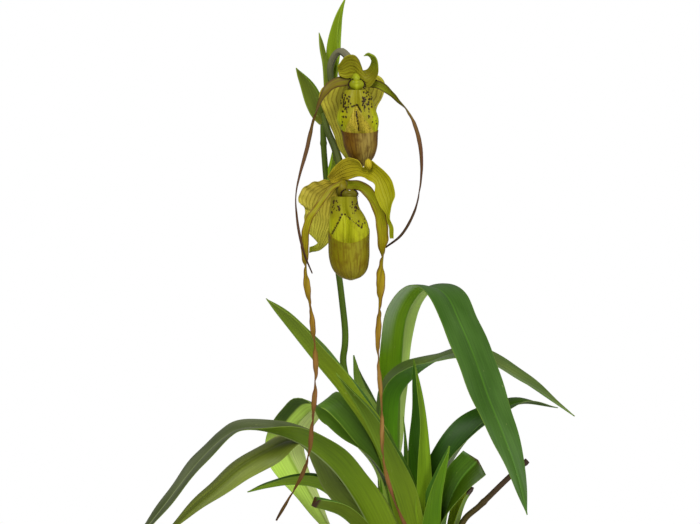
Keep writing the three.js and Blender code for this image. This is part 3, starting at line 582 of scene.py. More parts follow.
@dataclass(frozen=True)
class LeafTissue(Tissue):
    """A strap leaf: a smooth waxy upper face and a paler, duller lower face.

    The wax gives the upper face a soft satin light. Fine parallel veins run
    the whole length, a groove marks the midrib above and a keel below it.
    """

    name: str
    upper: str
    upper_light: str
    lower: str
    lower_light: str
    rib: str
    foot: str
    foot_reach: float = 0.3  # share of the length that the paler foot fades over
    rib_strength: float = 0.5
    edge: str = "#7c9238"
    edge_strength: float = 0.3
    tip: str = ""
    tip_reach: float = 0.5  # share of the length that the tip's colour fades over
    patches: tuple[Patch, ...] = ()
    scar: str = "#9aa05c"  # old rubbed specks
    dried: float = 1.0  # share of the length where a cut end has dried brown
    vein_step: float = 2.1  # mm between parallel veins
    upper_roughness: float = 0.38
    lower_roughness: float = 0.5

    def paint(self, coat: Coat) -> None:
        """Adds the veins, midrib, patches and gloss of a leaf; most patches are painted light or
        shade.

        Args:
            coat: the material in the making.
        """
        add, (place, mm, part) = coat.add, coat.marks()
        side = mm[2]

        # Slow changes of tone along the blade, a few centimetres long
        tone = add("Mapping", inputs={0: place, "Scale": clouds(20, 55.6, 3)})
        tone = add("TexNoise", inputs={0: tone, "Scale": 1, "Detail": 2})
        tone = add("MapRange", inputs={0: tone, 1: 0.35, 2: 0.65})
        # Streaks under a millimetre wide that run along the blade
        streak = add("Mapping", inputs={0: place, "Scale": clouds(0.909, 33.3, 5)})
        streak = add("TexNoise", inputs={0: streak, "Scale": 1, "Detail": 3})
        upper = add("Mix", MIX, {0: tone, 6: self.upper, 7: self.upper_light})
        lower = add("Mix", MIX, {0: tone, 6: self.lower, 7: self.lower_light})

        foot = add("MapRange", SMOOTH, {0: part[1], 1: 0.02, 2: self.foot_reach, 3: 0.75, 4: 0})
        layers = [(side, lower.outputs[2]), (foot, self.foot)]
        if self.tip:
            tip = add("MapRange", SMOOTH,
                      {0: part[1], 1: 1 - self.tip_reach, 2: 0.97, 3: 0, 4: 0.9})
            layers.append((tip, self.tip))
        # Patches on one arm; most are painted light or shade
        layers += [(patch.cover(add, part, side, streak), patch.color) for patch in self.patches]
        # The midrib: a light line in the groove above, a lighter keel below
        off = add("Math", SIZE, {0: mm[0]})
        rib = add("MapRange", SMOOTH, {0: off, 1: 0.2, 2: 1.3, 3: self.rib_strength, 4: 0})
        rim = add("Math", SIZE, {0: part[0]})
        rim = add("MapRange", SMOOTH, {0: rim, 1: 0.955, 2: 0.995, 3: 0, 4: self.edge_strength})
        # Sparse rubbed specks, about a millimetre across
        rubbed = add("Mapping", inputs={0: place, "Scale": clouds(2.13, 4.76, 7)})
        rubbed = add("TexNoise", inputs={0: rubbed, "Scale": 1, "Detail": 1})
        rubbed = add("MapRange", inputs={0: rubbed, 1: 0.74, 2: 0.8, 3: 0, 4: 0.3})
        layers += [(rib, self.rib), (rim, self.edge), (rubbed, self.scar)]
        color = upper
        for cover, over in layers:
            color = add("Mix", MIX, {0: cover, 6: color.outputs[2], 7: over})

        # Parallel veins and streaks change the tone a little
        phase = add("Math", TIMES, {0: mm[0], 1: 2 * math.pi / self.vein_step})
        vein = add("Math", {"operation": "SINE"}, {0: phase})
        grain = add("Math", TIMES_PLUS, {0: vein, 1: 0.06, 2: streak})
        shade = add("MapRange", inputs={0: grain, 1: 0.25, 2: 0.75, 3: 0.82, 4: 1.16})
        color = add("VectorMath", {"operation": "SCALE"}, {0: color.outputs[2], "Scale": shade})
        color = color.outputs[0]
        if self.dried < 1:
            # The cut end has dried brown, unevenly
            ragged = add("Math", TIMES_PLUS, {0: streak, 1: 0.05, 2: part[1]})
            dried = add("MapRange", SMOOTH, {0: ragged, 1: self.dried, 2: self.dried + 0.035})
            color = add("Mix", MIX, {0: dried, 6: color, 7: DRIED}).outputs[2]
        rough = add("Mix", {"data_type": "FLOAT"},
                    {0: side, 2: self.upper_roughness, 3: self.lower_roughness})
        rough = add("Math", TIMES_PLUS, {0: streak, 1: 0.12, 2: rough.outputs[0]})
        coat.finish(color, grain, 0.3, 0.2, rough, gloss=LEAF_GLOSS)


@dataclass(frozen=True)
class StalkTissue(Tissue):
    """A green or brown stalk: round, matt and finely streaked along its length.

    The colours run from the foot to the tip. Short down, too fine to see by
    itself, takes the gloss off the skin.
    """

    name: str
    colors: tuple[str, ...]
    streak: str
    roughness: float = 0.55
    down: float = 0.455  # mm, coarser than the real down so that it shows

    def paint(self, coat: Coat) -> None:
        """Adds the streaks and the dull down of a stalk.

        Args:
            coat: the material in the making.
        """
        add, (place, _, part) = coat.add, coat.marks()
        base = add("ValToRGB", {"colors": self.colors}, {0: part[1]})
        streak = add("Mapping", inputs={0: place, "Scale": clouds(0.714, 20, 1)})
        streak = add("TexNoise", inputs={0: streak, "Scale": 1, "Detail": 3})
        fade = add("MapRange", inputs={0: streak, 1: 0.42, 2: 0.72, 3: 0, 4: 0.6})
        color = add("Mix", MIX, {0: fade, 6: base, 7: self.streak})
        down = add("TexNoise", inputs={0: place, "Scale": 1 / self.down, "Detail": 2})
        height = add("Math", PLUS, {0: streak, 1: down})
        coat.finish(color.outputs[2], height, 0.35, 0.3, self.roughness, gloss=LEAF_GLOSS)


@dataclass(frozen=True)
class SepalTissue(Tissue):
    """A sepal: thin, satin and lined along its length with darker veins."""

    name: str
    upper: tuple[str, ...]  # colours of the upper face from foot to tip
    lower: tuple[str, ...]
    vein: str
    veins: float = 11  # how many there are across the sepal
    strength: float = 0.75
    waver: float = 8.33  # mm from one bend of a vein to the next
    mottle: float = 2.86  # mm

    def paint(self, coat: Coat) -> None:
        """Adds the lines and the mottled faces of a sepal.

        Args:
            coat: the material in the making.
        """
        add, (place, mm, part) = coat.add, coat.marks()
        upper, lower = (add("ValToRGB", {"colors": colors}, {0: part[1]})
                        for colors in (self.upper, self.lower))
        face = add("Mix", MIX, {0: mm[2], 6: upper, 7: lower})
        # Veins waver a little and fade where the tissue is thick
        waver = add("TexNoise", inputs={0: place, "Scale": 1 / self.waver, "Detail": 1})
        shifted = add("Math", TIMES_PLUS, {0: waver, 1: 0.14, 2: part[0]})
        phase = add("Math", TIMES, {0: shifted, 1: math.pi * self.veins})
        wave = add("Math", {"operation": "SINE"}, {0: phase})
        line = add("MapRange", SMOOTH, {0: wave, 1: 0.15, 2: 0.95, 3: 0, 4: self.strength})
        mottle = add("TexNoise", inputs={0: place, "Scale": 1 / self.mottle, "Detail": 3})
        worn = add("MapRange", inputs={0: mottle, 1: 0.3, 2: 0.7, 3: 0.45, 4: 1})
        line = add("Math", TIMES, {0: line, 1: worn})
        color = add("Mix", MIX, {0: line, 6: face.outputs[2], 7: self.vein})
        height = add("Math", TIMES_PLUS, {0: wave, 1: 0.5, 2: mottle})
        coat.finish(color.outputs[2], height, 0.4, 0.3, 0.5)


@dataclass(frozen=True)
class PetalTissue(Tissue):
    """A ribbon petal: green at its foot, brown to nearly black at its tip."""

    name: str
    colors: tuple[str, ...]
    edge: str
    vein: str

    def paint(self, coat: Coat) -> None:
        """Adds the streaks and the dark edges of a ribbon.

        Args:
            coat: the material in the making.
        """
        add, (place, _, part) = coat.add, coat.marks()
        base = add("ValToRGB", {"colors": self.colors}, {0: part[1]})
        streak = add("Mapping", inputs={0: place, "Scale": clouds(0.667, 16.7, 2)})
        streak = add("TexNoise", inputs={0: streak, "Scale": 1, "Detail": 3})
        fade = add("MapRange", inputs={0: streak, 1: 0.38, 2: 0.66, 3: 0, 4: 0.8})
        color = add("Mix", MIX, {0: fade, 6: base, 7: self.vein})
        off = add("Math", SIZE, {0: part[0]})
        rim = add("MapRange", SMOOTH, {0: off, 1: 0.55, 2: 1, 3: 0, 4: 0.75})
        color = add("Mix", MIX, {0: rim, 6: color.outputs[2], 7: self.edge})
        coat.finish(color.outputs[2], streak, 0.4, 0.3, 0.48)


@dataclass(frozen=True)
class LipTissue(Tissue):
    """The lip's flesh: firm and satin, with veins that run down the pouch.

    One is the pouch, whose colour changes from rim to toe and whose pale
    middle is a painted highlight. The other is the pair of folded lobes
    above it, which carry dark raised spots.
    """

    name: str
    colors: tuple[str, ...]  # from the toe to the top
    vein: str
    pale_middle_and_highlight: str  # the paler middle; on the pouches it is a painted highlight
    spot: str
    panel: str = "#9aa010"  # the raised panel between the folds
    speckle: float = 0.0  # how strongly fine brown specks cover the panel
    cheek: str = ""  # the lobes' bright bulges at each side, low down
    pale_middle_and_highlight_at: float = 0.0  # where the pale middle lies, which on the pouches is the painted highlight, as a share of half the way round
    roughness: float = 0.4
    blotch: float = 6.25  # mm
    grain: float = 0.769  # mm

    def paint(self, coat: Coat) -> None:
        """Adds the veins, blotches and spots of a pouch or its lobes.

        Args:
            coat: the material in the making.
        """
        add, (place, mm, part) = coat.add, coat.marks()
        panel = mm[2]
        base = add("ValToRGB", {"colors": self.colors}, {0: part[1]})
        # The pale middle; on the pouches it is a painted highlight, set a little to one side
        off = add("Math", {"operation": "SUBTRACT"}, {0: part[0], 1: self.pale_middle_and_highlight_at})
        off = add("Math", SIZE, {0: off})
        middle = add("MapRange", SMOOTH, {0: off, 1: 0.02, 2: 0.3, 3: 0.6, 4: 0})
        layers = [(middle, self.pale_middle_and_highlight)]
        if self.cheek:
            aside = add("Math", SIZE, {0: part[0]})
            aside = add("MapRange", SMOOTH, {0: aside, 1: 0.2, 2: 0.32, 3: 0, 4: 0.9})
            low = add("MapRange", SMOOTH, {0: part[1], 1: 0.4, 2: 0.62, 3: 1, 4: 0})
            layers.append((add("Math", TIMES, {0: aside, 1: low}), self.cheek))
        streak = add("Mapping", inputs={0: place, "Scale": clouds(1.82, 14.3)})
        streak = add("TexNoise", inputs={0: streak, "Scale": 1, "Detail": 3})
        line = add("MapRange", inputs={0: streak, 1: 0.45, 2: 0.68, 3: 0, 4: 0.7})
        # Blotches some millimetres wide, where the flesh is thicker
        flat = add("Mapping", inputs={0: place, "Scale": (1, 1, 0)})
        blotch = add("TexNoise", inputs={0: flat, "Scale": 1 / self.blotch, "Detail": 2})
        blotch = add("MapRange", inputs={0: blotch, 1: 0.5, 2: 0.68, 3: 0, 4: 0.55})
        grain = add("TexNoise", inputs={0: flat, "Scale": 1 / self.grain, "Detail": 3})
        fine = add("MapRange", inputs={0: grain, 1: 0.5, 2: 0.6, 3: 0, 4: self.speckle})
        fine = add("Math", TIMES, {0: fine, 1: panel})
        layers += [(panel, self.panel), (line, self.vein), (blotch, self.vein),
                   (fine, self.spot), (part[2], self.spot)]
        color = base.outputs[0]
        for cover, over in layers:
            color = add("Mix", MIX, {0: cover, 6: color, 7: over}).outputs[2]
        height = add("Math", PLUS, {0: streak, 1: grain})
        coat.finish(color, height, 0.3, 0.3, self.roughness)


@dataclass(frozen=True)
class Grit(Tissue):
    """A rough natural or moulded stuff: two tones, blotched and bumped.

    Its grain is a real size in millimetres.
    """

    name: str
    dark: str
    light: str
    grain: float  # mm
    roughness: float
    relief: float = 0.3  # mm
    stretch: Vector = (1, 1, 1)
    ior: float = 1.5

    def paint(self, coat: Coat) -> None:
        """Adds the two tones and the bumps.

        Args:
            coat: the material in the making.
        """
        add = coat.add
        where = add("TexCoord").outputs["Object"]
        where = add("Mapping", inputs={0: where, "Scale": self.stretch})
        scale = 1 / (self.grain * MM)
        blotch = add("TexNoise", inputs={0: where, "Scale": scale / 4, "Detail": 4})
        grain = add("TexNoise", inputs={0: where, "Scale": scale, "Detail": 5})
        both = add("Math", TIMES_PLUS, {0: grain, 1: 0.6, 2: blotch})
        fade = add("MapRange", inputs={0: both, 1: 0.6, 2: 1})
        color = add("Mix", MIX, {0: fade, 6: self.dark, 7: self.light})
        coat.finish(color.outputs[2], both, 0.6, self.relief, self.roughness, self.ior, PLAIN_GLOSS)


# Moulded polypropylene, coloured right through: a fine even sheen
POT_PLASTIC = Grit("moulded_polypropylene", "#95492f", "#a4563a", 0.8, 0.42, 0.04, ior=1.49)
# Fir bark, broken: dull and fibrous, red-brown with greyer weathered faces
FIR_BARK = Grit("fir_bark", "#3a2214", "#80553a", 2.5, 0.9, 0.9, (1, 1, 2.4))
BARK_DUST = Grit("bark_crumb", "#1f140c", "#4a3120", 2, 0.95, 1.5)
# Old papery leaf sheaths round the growth bases
DRY_SHEATH = Grit("dry_leaf_sheath", "#5c4a28", "#9a8548", 1.6, 0.7, 0.25, (1, 1, 0.12))
ROOT_SKIN = Grit("hairy_root_skin", "#4a3320", "#7d6038", 0.8, 0.85, 0.4)
STUDIO_BOARD = Grit("matt_white_board", "#f4f4f2", "#fbfbfa", 3, 0.9, 0.02)

MATURE = LeafTissue(
    name="mature_leaf", upper="#34530f", upper_light="#47692c", lower="#56751a",
    lower_light="#6a8a2a", rib="#5f8a2c", foot="#7f9a1e",
)
YOUNG = replace(
    MATURE, name="young_leaf", upper="#2a4c08", upper_light="#3d6412", lower="#5f8014",
    lower_light="#7a9628", rib="#7a9a2c", foot="#84a21c",
)
OLD = replace(
    MATURE, name="old_leaf", upper="#35602a", upper_light="#44703a", lower="#4f7412",
    lower_light="#62881e", rib="#5e8c34", foot="#6a8a16",
)


class LeafDress(Enum):
    """The tissue of each leaf. Leaves of one plant differ by age and light."""

    BIG_ARCH = replace(
        OLD, name="leaf_big_arch", upper="#2d4c0e", upper_light="#3b5a1e", rib="#4f8018",
        lower="#5d8706", lower_light="#719a11", rib_strength=0.25,
        # Two painted lights on the lower face: a pale strip on one arm for light shining through the
        # blade, and a grey-white painted highlight where the blade bends over
        patches=(Patch("#a5c25a", 1, 1, start=0.02, blur=0.1),
                 Patch("#a9bf9a", -1, 1, start=0.3, blur=0.4, strength=0.75, reach=(0.41, 0.53))),
    )
    LEFT_FRONT = replace(
        MATURE, name="leaf_left_front", upper="#3a451f", upper_light="#575f3e", rib="#8c9868",
        rib_strength=0.6, lower="#4c6504", lower_light="#5b7509", edge="#6f8020",
    )
    LEFT_INNER = replace(
        YOUNG, name="leaf_left_inner", lower="#5a7309", lower_light="#6c8414", tip="#42590a",
        tip_reach=0.75, foot_reach=0.36,
    )
    RIGHT_INNER = replace(
        YOUNG, name="leaf_right_inner", lower="#436b00", lower_light="#557c04", edge="#86a030",
    )
    LEFT_UPRIGHT = replace(
        YOUNG, name="leaf_left_upright", lower="#6b800e", lower_light="#7d961a", tip="#566a12",
        tip_reach=0.4, edge="#93a53c",
    )
    RIGHT_BACK_ARCH = replace(
        MATURE, name="leaf_right_back_arch", upper="#3f5321", upper_light="#55662c",
        lower="#427603", lower_light="#518307", rib="#6a7c3a",
        patches=(Patch("#5d7240", -1, 0, start=0.05, strength=0.7),),
    )
    LEFT_BACK_ARCH = replace(
        OLD, name="leaf_left_back_arch", upper="#41690f", upper_light="#5a7e1f",
        # Painted light and shade: the lower face is painted far paler than other leaves', partly its
        # own paler tissue and partly light shining through the blade; the dark lower patch is
        # painted shade, the near-white one painted light through the hanging end, and on the upper
        # face one arm is painted lighter and the other darker for light and shade
        lower="#b8dc58", lower_light="#ccee6e", rib="#9cba48", rib_strength=0.7,
        patches=(Patch("#2c4810", 1, 1, start=0.38, blur=0.14, strength=0.95, reach=(0, 0.63)),
                 Patch("#e2f496", -1, 1, start=0.06, strength=0.85, reach=(0.5, 1)),
                 Patch("#668c2c", -1, 0, start=0.05, strength=0.6),
                 Patch("#405810", 1, 0, start=0.05, strength=0.6)),
    )
    CENTRE_UPRIGHT = replace(
        YOUNG, name="leaf_centre_upright", upper="#234600", upper_light="#315900",
        lower="#678a11", lower_light="#7b9d1a", foot_reach=0.46, edge="#86a030",
    )
    LEFT_LOW = replace(
        OLD, name="leaf_left_low", upper="#5f6b20", upper_light="#707c2c", lower="#536417",
        lower_light="#647724", rib="#7a8440", edge="#7c8840",
        # The paler stretch on the upper face's far arm is painted light, where that arm faces away
        # from the lamps
        patches=(Patch("#a5b14d", -1, 0, start=0.04, blur=0.2, strength=0.6),),
    )
    RIGHT_ARCH = replace(
        MATURE, name="leaf_right_arch", upper="#1d3e00", upper_light="#2a4f03",
        lower="#4a5f26", lower_light="#5e6f40", tip="#304408", tip_reach=0.4,
    )
    RIGHT_CUT = replace(
        MATURE, name="leaf_right_cut", upper="#2e4e02", upper_light="#3a5a06",
        lower="#4a6c1c", lower_light="#5c7c30", dried=0.992,
        patches=(Patch("#2c3c04", -1, 0, start=0.05, strength=0.6),),
    )
    BACK_SHORT = replace(
        MATURE, name="leaf_back_short", lower="#799734", lower_light="#8da549",
        upper="#5a7430", upper_light="#6c8250",
    )
    LEFT_CUT = replace(
        MATURE, name="leaf_left_cut", lower="#556b0e", lower_light="#657c18", dried=0.955,
    )
    LEFT_SHORT = replace(
        MATURE, name="leaf_left_short", lower="#67840b", lower_light="#769812",
    )
    RIGHT_CUT_LOW = replace(
        YOUNG, name="leaf_right_cut_low", upper="#a1ba21", upper_light="#b5cb37", dried=0.9,
    )
    SMALL = replace(YOUNG, name="leaf_small", lower="#4c7010", lower_light="#628420")


BRACT = replace(YOUNG, name="bract", lower="#667c06", lower_light="#7c9412", upper="#769006",
                upper_light="#84a010", rib="#8ca02c", foot="#6c8410", foot_reach=0.2)
OLD_BRACT = replace(BRACT, name="lower_bract", lower="#4d5908", lower_light="#60701a",
                    upper="#465c08", upper_light="#5a720e", foot="#6a6a1c")

STEM_TISSUE = StalkTissue("flower_stem", ("#4a6612", "#4c6610", "#48600f", "#43540c", "#4a5c12"),
                          "#34430a")
UPPER_OVARY = StalkTissue("upper_ovary", ("#54602a", "#68684c", "#66624e", "#6e6e3a"), "#4a4830")
LOWER_OVARY = StalkTissue("lower_ovary", ("#56661c", "#46521a", "#4a5216", "#6e6c20"), "#323c10")
SPIKE_TISSUE = StalkTissue("old_spike", ("#5c6c28", "#5a5224", "#44341f", "#3a2a20"), "#2c2016",
                           0.7)


# ---- leaves


@dataclass(frozen=True)
class Blade(Piece):
    """A folded strap blade on a midrib.

    Its two arms rise from the midrib on the upper face's side by the fold
    angle. Facing says which way the blade leans; 0 is to +X and 90 is to +Y.
    Roll turns it about its midrib. All three are degrees at even steps.
    """

    midrib: Points
    width: float
    foot_width: float
    facing: tuple[float, ...]
    fold: tuple[float, ...]
    tissue: LeafTissue = MATURE
    roll: tuple[float, ...] = (0,)
    taper_from: float = 0.58  # share of the length where the blade starts to narrow
    point: float = 1.7  # how full the tip is; 1 is a plain wedge
    thickness: tuple[float, float] = (1.3, 0.8)  # mm at the foot and at the tip
    wave: float = 0.4  # mm that the edges wave by
    seed: int = 1

    ROW_STEP = 2.4  # mm
    LEAST_ROWS = 12
    COLUMNS = 23
    ARCH = 0.05  # how far each arm bulges, as a share of its width
    TIP = 0.35  # half the width of the very tip, in mm
    BEND = 0.09  # rounding of the fold, as a share of an arm
    WAVE_STEPS = (34, 52)  # mm
    EDGE = 0.4  # thickness of the edge, as a share of the middle's
    POINT_EDGE = 0.12  # mm of half thickness where the blade runs out
    POINT_SLOPE = 0.35  # how fast it may thicken from there
    KEEL = (0.5, 1.3)  # mm that the midrib stands out below, and its half width
    GROOVE = (0.35, 1.1)  # mm that it is sunk above, and its half width
    SMALL = 6  # mm of half width below which keel and groove fade

    def half_width(self, u: Array) -> Array:
        """Returns half the blade's width at shares u of its length."""
        strap = (self.foot_width + (self.width - self.foot_width) * ease(u / 0.4)) / 2
        to_tip = np.clip((u - self.taper_from) / (1 - self.taper_from), 0, 1)
        return np.maximum(strap * (1 - to_tip**self.point), self.TIP)

    def middle(self, u: Array, v: Array) -> Array:
        """Returns the blade's middle sheet.

        Args:
            u: shares of the length, one for each row.
            v: places from -1 to 1, one for each column.

        Returns:
            Points as (rows, columns, 3).
        """
        path = Path(self.midrib)
        points, tangents = path.points(u), path.tangents(u)
        heading = np.radians(along(self.facing, u))
        sideways = np.stack([-np.sin(heading), np.cos(heading), np.zeros_like(u)], axis=-1)
        sideways -= tangents * (sideways * tangents).sum(-1, keepdims=True)
        sideways = turn(unit(sideways), tangents, along(self.roll, u))
        inward = np.cross(tangents, sideways)
        fold = np.radians(along(self.fold, u))[:, None]
        half = self.half_width(u)[:, None]
        rounded = ((np.sqrt(v**2 + self.BEND**2) - self.BEND)
                   / (math.sqrt(1 + self.BEND**2) - self.BEND))
        bulge = self.ARCH * half * np.sin(np.pi * np.abs(v))
        x = v * half * np.cos(fold) - np.sign(v) * bulge * np.sin(fold)
        z = rounded * half * np.sin(fold) + bulge * np.cos(fold)
        z += (self.wave * ease(u / 0.2)[:, None]
              * edge_waves(self.seed, u, v, path.length, self.WAVE_STEPS))
        return (points[:, None] + sideways[:, None] * x[..., None]
                + inward[:, None] * z[..., None])

    def fill(self, shape: Shape) -> None:
        """Adds the blade.

        Args:
            shape: what it is added to.
        """
        length = Path(self.midrib).length
        u = np.linspace(0, 1, max(self.LEAST_ROWS, round(length / self.ROW_STEP)))
        v = np.linspace(-1, 1, self.COLUMNS)[None, :]
        half = self.half_width(u)[:, None]
        full = along(self.thickness, u)[:, None] / 2
        slim = full * (self.EDGE + (1 - self.EDGE) * (1 - np.abs(v) ** 3))
        slim = np.minimum(slim, self.POINT_EDGE + self.POINT_SLOPE * half)
        keel, groove = (height * bell(v * half / reach) * ease(half / self.SMALL)
                        for height, reach in (self.KEEL, self.GROOVE))
        shape.add_sheet(self.middle(u, v), slim - groove, slim + keel, half, v, u, length)


LEAF_FOOT = 110.3  # level of the growth bases' tops

CUT = {"taper_from": 0.99, "point": 1, "thickness": (1.3, 1), "wave": 0.2}

LEAVES: dict[str, tuple[str, Blade]] = {
    "leaf_right_big_arch": ("old_leaf", Blade(
        midrib=[(-11, 20, LEAF_FOOT), (-9.5, 22, 169), (-8, 21, 250), (-5, 17, 283), (0, 12, 296),
                (7, 6, 305), (15.5, -6, 307), (24, -20, 301.5), (31.5, -34, 286), (41.5, -52, 262),
                (50.5, -68, 236), (60, -82, 212), (67.5, -92, 191), (75, -100, 161)],
        width=34, foot_width=26, taper_from=0.68, point=2, facing=(-30, -38, -44, -50, -56, -66),
        fold=(64, 28, 16, 4, 5, 10), tissue=LeafDress.BIG_ARCH.value, seed=3)),
    "leaf_left_front": ("leaf", Blade(
        midrib=[(-18, -11, LEAF_FOOT), (-30, -13, 142), (-46, -17, 170), (-59, -21, 186),
                (-78, -27, 201), (-104, -35, 211), (-119, -40, 211.5), (-129, -44, 206.8),
                (-146, -53, 191.5), (-169, -64, 163), (-186, -70, 141), (-200, -76, 118)],
        width=31, foot_width=40, facing=(172, 174, 177, 183, 185),
        fold=(74, 74, 72, 66, 42, 16, 6, 4, 4, 6, 8),
        roll=(0, 3, 9, 11, 9, -3, -12, -15, -15, -15, -15), tissue=LeafDress.LEFT_FRONT.value,
        seed=4)),
    "leaf_left_inner": ("young_leaf", Blade(
        midrib=[(1, -13, LEAF_FOOT), (-7, -19, 150), (-15, -22, 175), (-23, -24, 196),
                (-35, -25, 221), (-53, -25, 249)],
        width=32, foot_width=26, taper_from=0.3, facing=(178, 174, 172), fold=(76, 68, 50),
        tissue=LeafDress.LEFT_INNER.value, seed=5)),
    "leaf_right_inner": ("young_leaf", Blade(
        midrib=[(22, -14, LEAF_FOOT), (19, -17, 143), (20, -20, 164), (22, -21, 176),
                (26, -20, 198)],
        width=30, foot_width=30, taper_from=0.3, facing=(4, 12, 20), fold=(72, 68, 50),
        tissue=LeafDress.RIGHT_INNER.value, seed=6)),
    "leaf_left_upright": ("young_leaf", Blade(
        midrib=[(-4, -2, LEAF_FOOT), (-14, -5, 158), (-25, -7, 196), (-48, -8, 232),
                (-69, -8, 258), (-102, -8, 300)],
        width=26, foot_width=24, taper_from=0.68, facing=(178, 176, 174), fold=(76, 70, 52),
        point=2.9, tissue=LeafDress.LEFT_UPRIGHT.value, seed=7)),
    "leaf_right_back_arch": ("leaf", Blade(
        midrib=[(-12, 14, LEAF_FOOT), (-8, 13, 156), (-9.5, 12, 188), (-10, 10, 214), (-8, 9, 232),
                (1, 9, 243.5), (11, 10, 251.5), (22, 11, 257.5), (33, 13, 260), (46, 15, 258.5),
                (63, 18, 249.5), (81, 20.5, 238.5), (100, 23, 225.5), (116, 24, 214)],
        width=32, foot_width=30, facing=(4, 6, 10, 16, 20, 22),
        fold=(72, 72, 70, 68, 66, 44, 0, 10, 18, 20, 20),
        roll=(0, 0, 0, 0, 0, 0, 0, 20, 30, 32, 32), tissue=LeafDress.RIGHT_BACK_ARCH.value, seed=8)),
    "leaf_left_back_arch": ("old_leaf", Blade(
        midrib=[(-13, 9, LEAF_FOOT), (-18, 9, 142), (-25, 10, 177), (-42, 14, 199),
                (-53, 17, 212), (-62, 20, 219.5), (-70, 25, 219.5), (-77, 31, 213.5),
                (-84.5, 40, 203.5), (-88.5, 48, 194), (-88.5, 53, 184), (-83.5, 56, 173),
                (-74, 59, 156), (-61, 61, 133), (-51, 62, 115)],
        width=33, foot_width=32, taper_from=0.66, facing=(178, 152, 112, 108, 136, 144),
        fold=(68, 54, 38, 8, 8, 10), point=1.6, tissue=LeafDress.LEFT_BACK_ARCH.value, seed=9)),
    "leaf_centre_upright": ("young_leaf", Blade(
        midrib=[(18, -13, LEAF_FOOT), (14, -13, 159), (11.2, -13, 198), (7.8, -12, 226),
                (1, -10, 258)],
        width=36, foot_width=18, taper_from=0.3, facing=(8, 22, 28), fold=(78, 54, 45),
        tissue=LeafDress.CENTRE_UPRIGHT.value, seed=10)),
    "leaf_left_low": ("old_leaf", Blade(
        midrib=[(-22, -1, LEAF_FOOT), (-35, 0, 138), (-50, 0, 152), (-61, -2, 166),
                (-68, -5, 182), (-74, -9, 195), (-84, -15, 201), (-101, -24, 195),
                (-120, -32, 184.5), (-136, -40, 171.5), (-150, -46, 160.5), (-172, -54, 139.5)],
        width=28, foot_width=32, facing=(176, 180, 196, 205, 208),
        fold=(72, 72, 68, 60, 38, 8, -20, -20, -18, -16, -12),
        roll=(0, 0, 0, 0, -4, -8, -31, -32, -32, -30, -28), taper_from=0.46,
        tissue=LeafDress.LEFT_LOW.value, seed=11)),
    "leaf_right_arch": ("leaf", Blade(
        midrib=[(20, 8, LEAF_FOOT), (19, 8, 143), (22.5, 8, 170), (32, 8, 190), (51, 8, 211.5),
                (76, 8, 225), (103, 6, 222)],
        width=32, foot_width=24, facing=(10, 35, 30), fold=(68, 50, 40, 14, 12),
        tissue=LeafDress.RIGHT_ARCH.value, seed=12)),
    "leaf_right_cut": ("leaf", Blade(
        midrib=[(23, -4, LEAF_FOOT), (22, -6, 130), (24, -7, 148), (28, -8, 161),
                (35, -10, 174.5), (46, -12, 187)],
        width=24.5, foot_width=20, facing=(10,), fold=(66, 44, 26, 12), roll=(0, 10, 40, 62),
        tissue=LeafDress.RIGHT_CUT.value, seed=13, **CUT)),
    "leaf_back_short": ("leaf", Blade(
        midrib=[(-4, 27, LEAF_FOOT), (-10, 32, 150), (-22, 34, 185), (-33, 34, 215),
                (-39, 33, 235), (-41, 31, 257)],
        width=33, foot_width=16, taper_from=0.35, facing=(150, 172, 172), fold=(62, 66, 64),
        point=2.4, tissue=LeafDress.BACK_SHORT.value, seed=14)),
    "leaf_left_cut": ("leaf", Blade(
        midrib=[(-25, -14, LEAF_FOOT), (-35, -20, 135), (-49, -24, 150), (-59, -26, 154.5),
                (-70, -28, 157.5)],
        width=22, foot_width=18, facing=(180, 190, 200), fold=(66, 50, 30),
        tissue=LeafDress.LEFT_CUT.value, seed=15, **CUT)),
    "leaf_left_short": ("leaf", Blade(
        midrib=[(-27, 12, LEAF_FOOT), (-42, 13, 140), (-63, 15, 163), (-82, 16, 167),
                (-100, 16, 165), (-116, 15, 161)],
        width=21, foot_width=18, facing=(176, 176, 180), fold=(62, 60, 44, 34),
        tissue=LeafDress.LEFT_SHORT.value, seed=16)),
    "leaf_right_cut_low": ("young_leaf", Blade(
        midrib=[(31, 8, LEAF_FOOT), (33, 9, 139), (38, 9, 156), (44, 9, 165)],
        width=17, foot_width=12, facing=(10, 20, 25), fold=(60, 44, 36),
        tissue=LeafDress.RIGHT_CUT_LOW.value, seed=17, **CUT)),
    "leaf_small_left": ("young_leaf", Blade(
        midrib=[(-9, 1, LEAF_FOOT), (-14, -1, 150), (-18.6, -1.6, 167.6)],
        width=9, foot_width=8, taper_from=0.35, facing=(170, 165, 160), fold=(60, 50, 36),
        tissue=LeafDress.SMALL.value, seed=18)),
    "leaf_small_centre": ("young_leaf", Blade(
        midrib=[(2, -1, LEAF_FOOT), (0, -3, 160), (-3, -5, 190), (-6, -6, 217)],
        width=9, foot_width=8, taper_from=0.35, facing=(20, 30, 40), fold=(60, 50, 36),
        tissue=LeafDress.SMALL.value, seed=19)),
}

BRACT_FORM = {"thickness": (1, 0.7), "taper_from": 0.35, "point": 1.4, "fold": (78, 62, 40),
              "wave": 0.1, "tissue": BRACT}

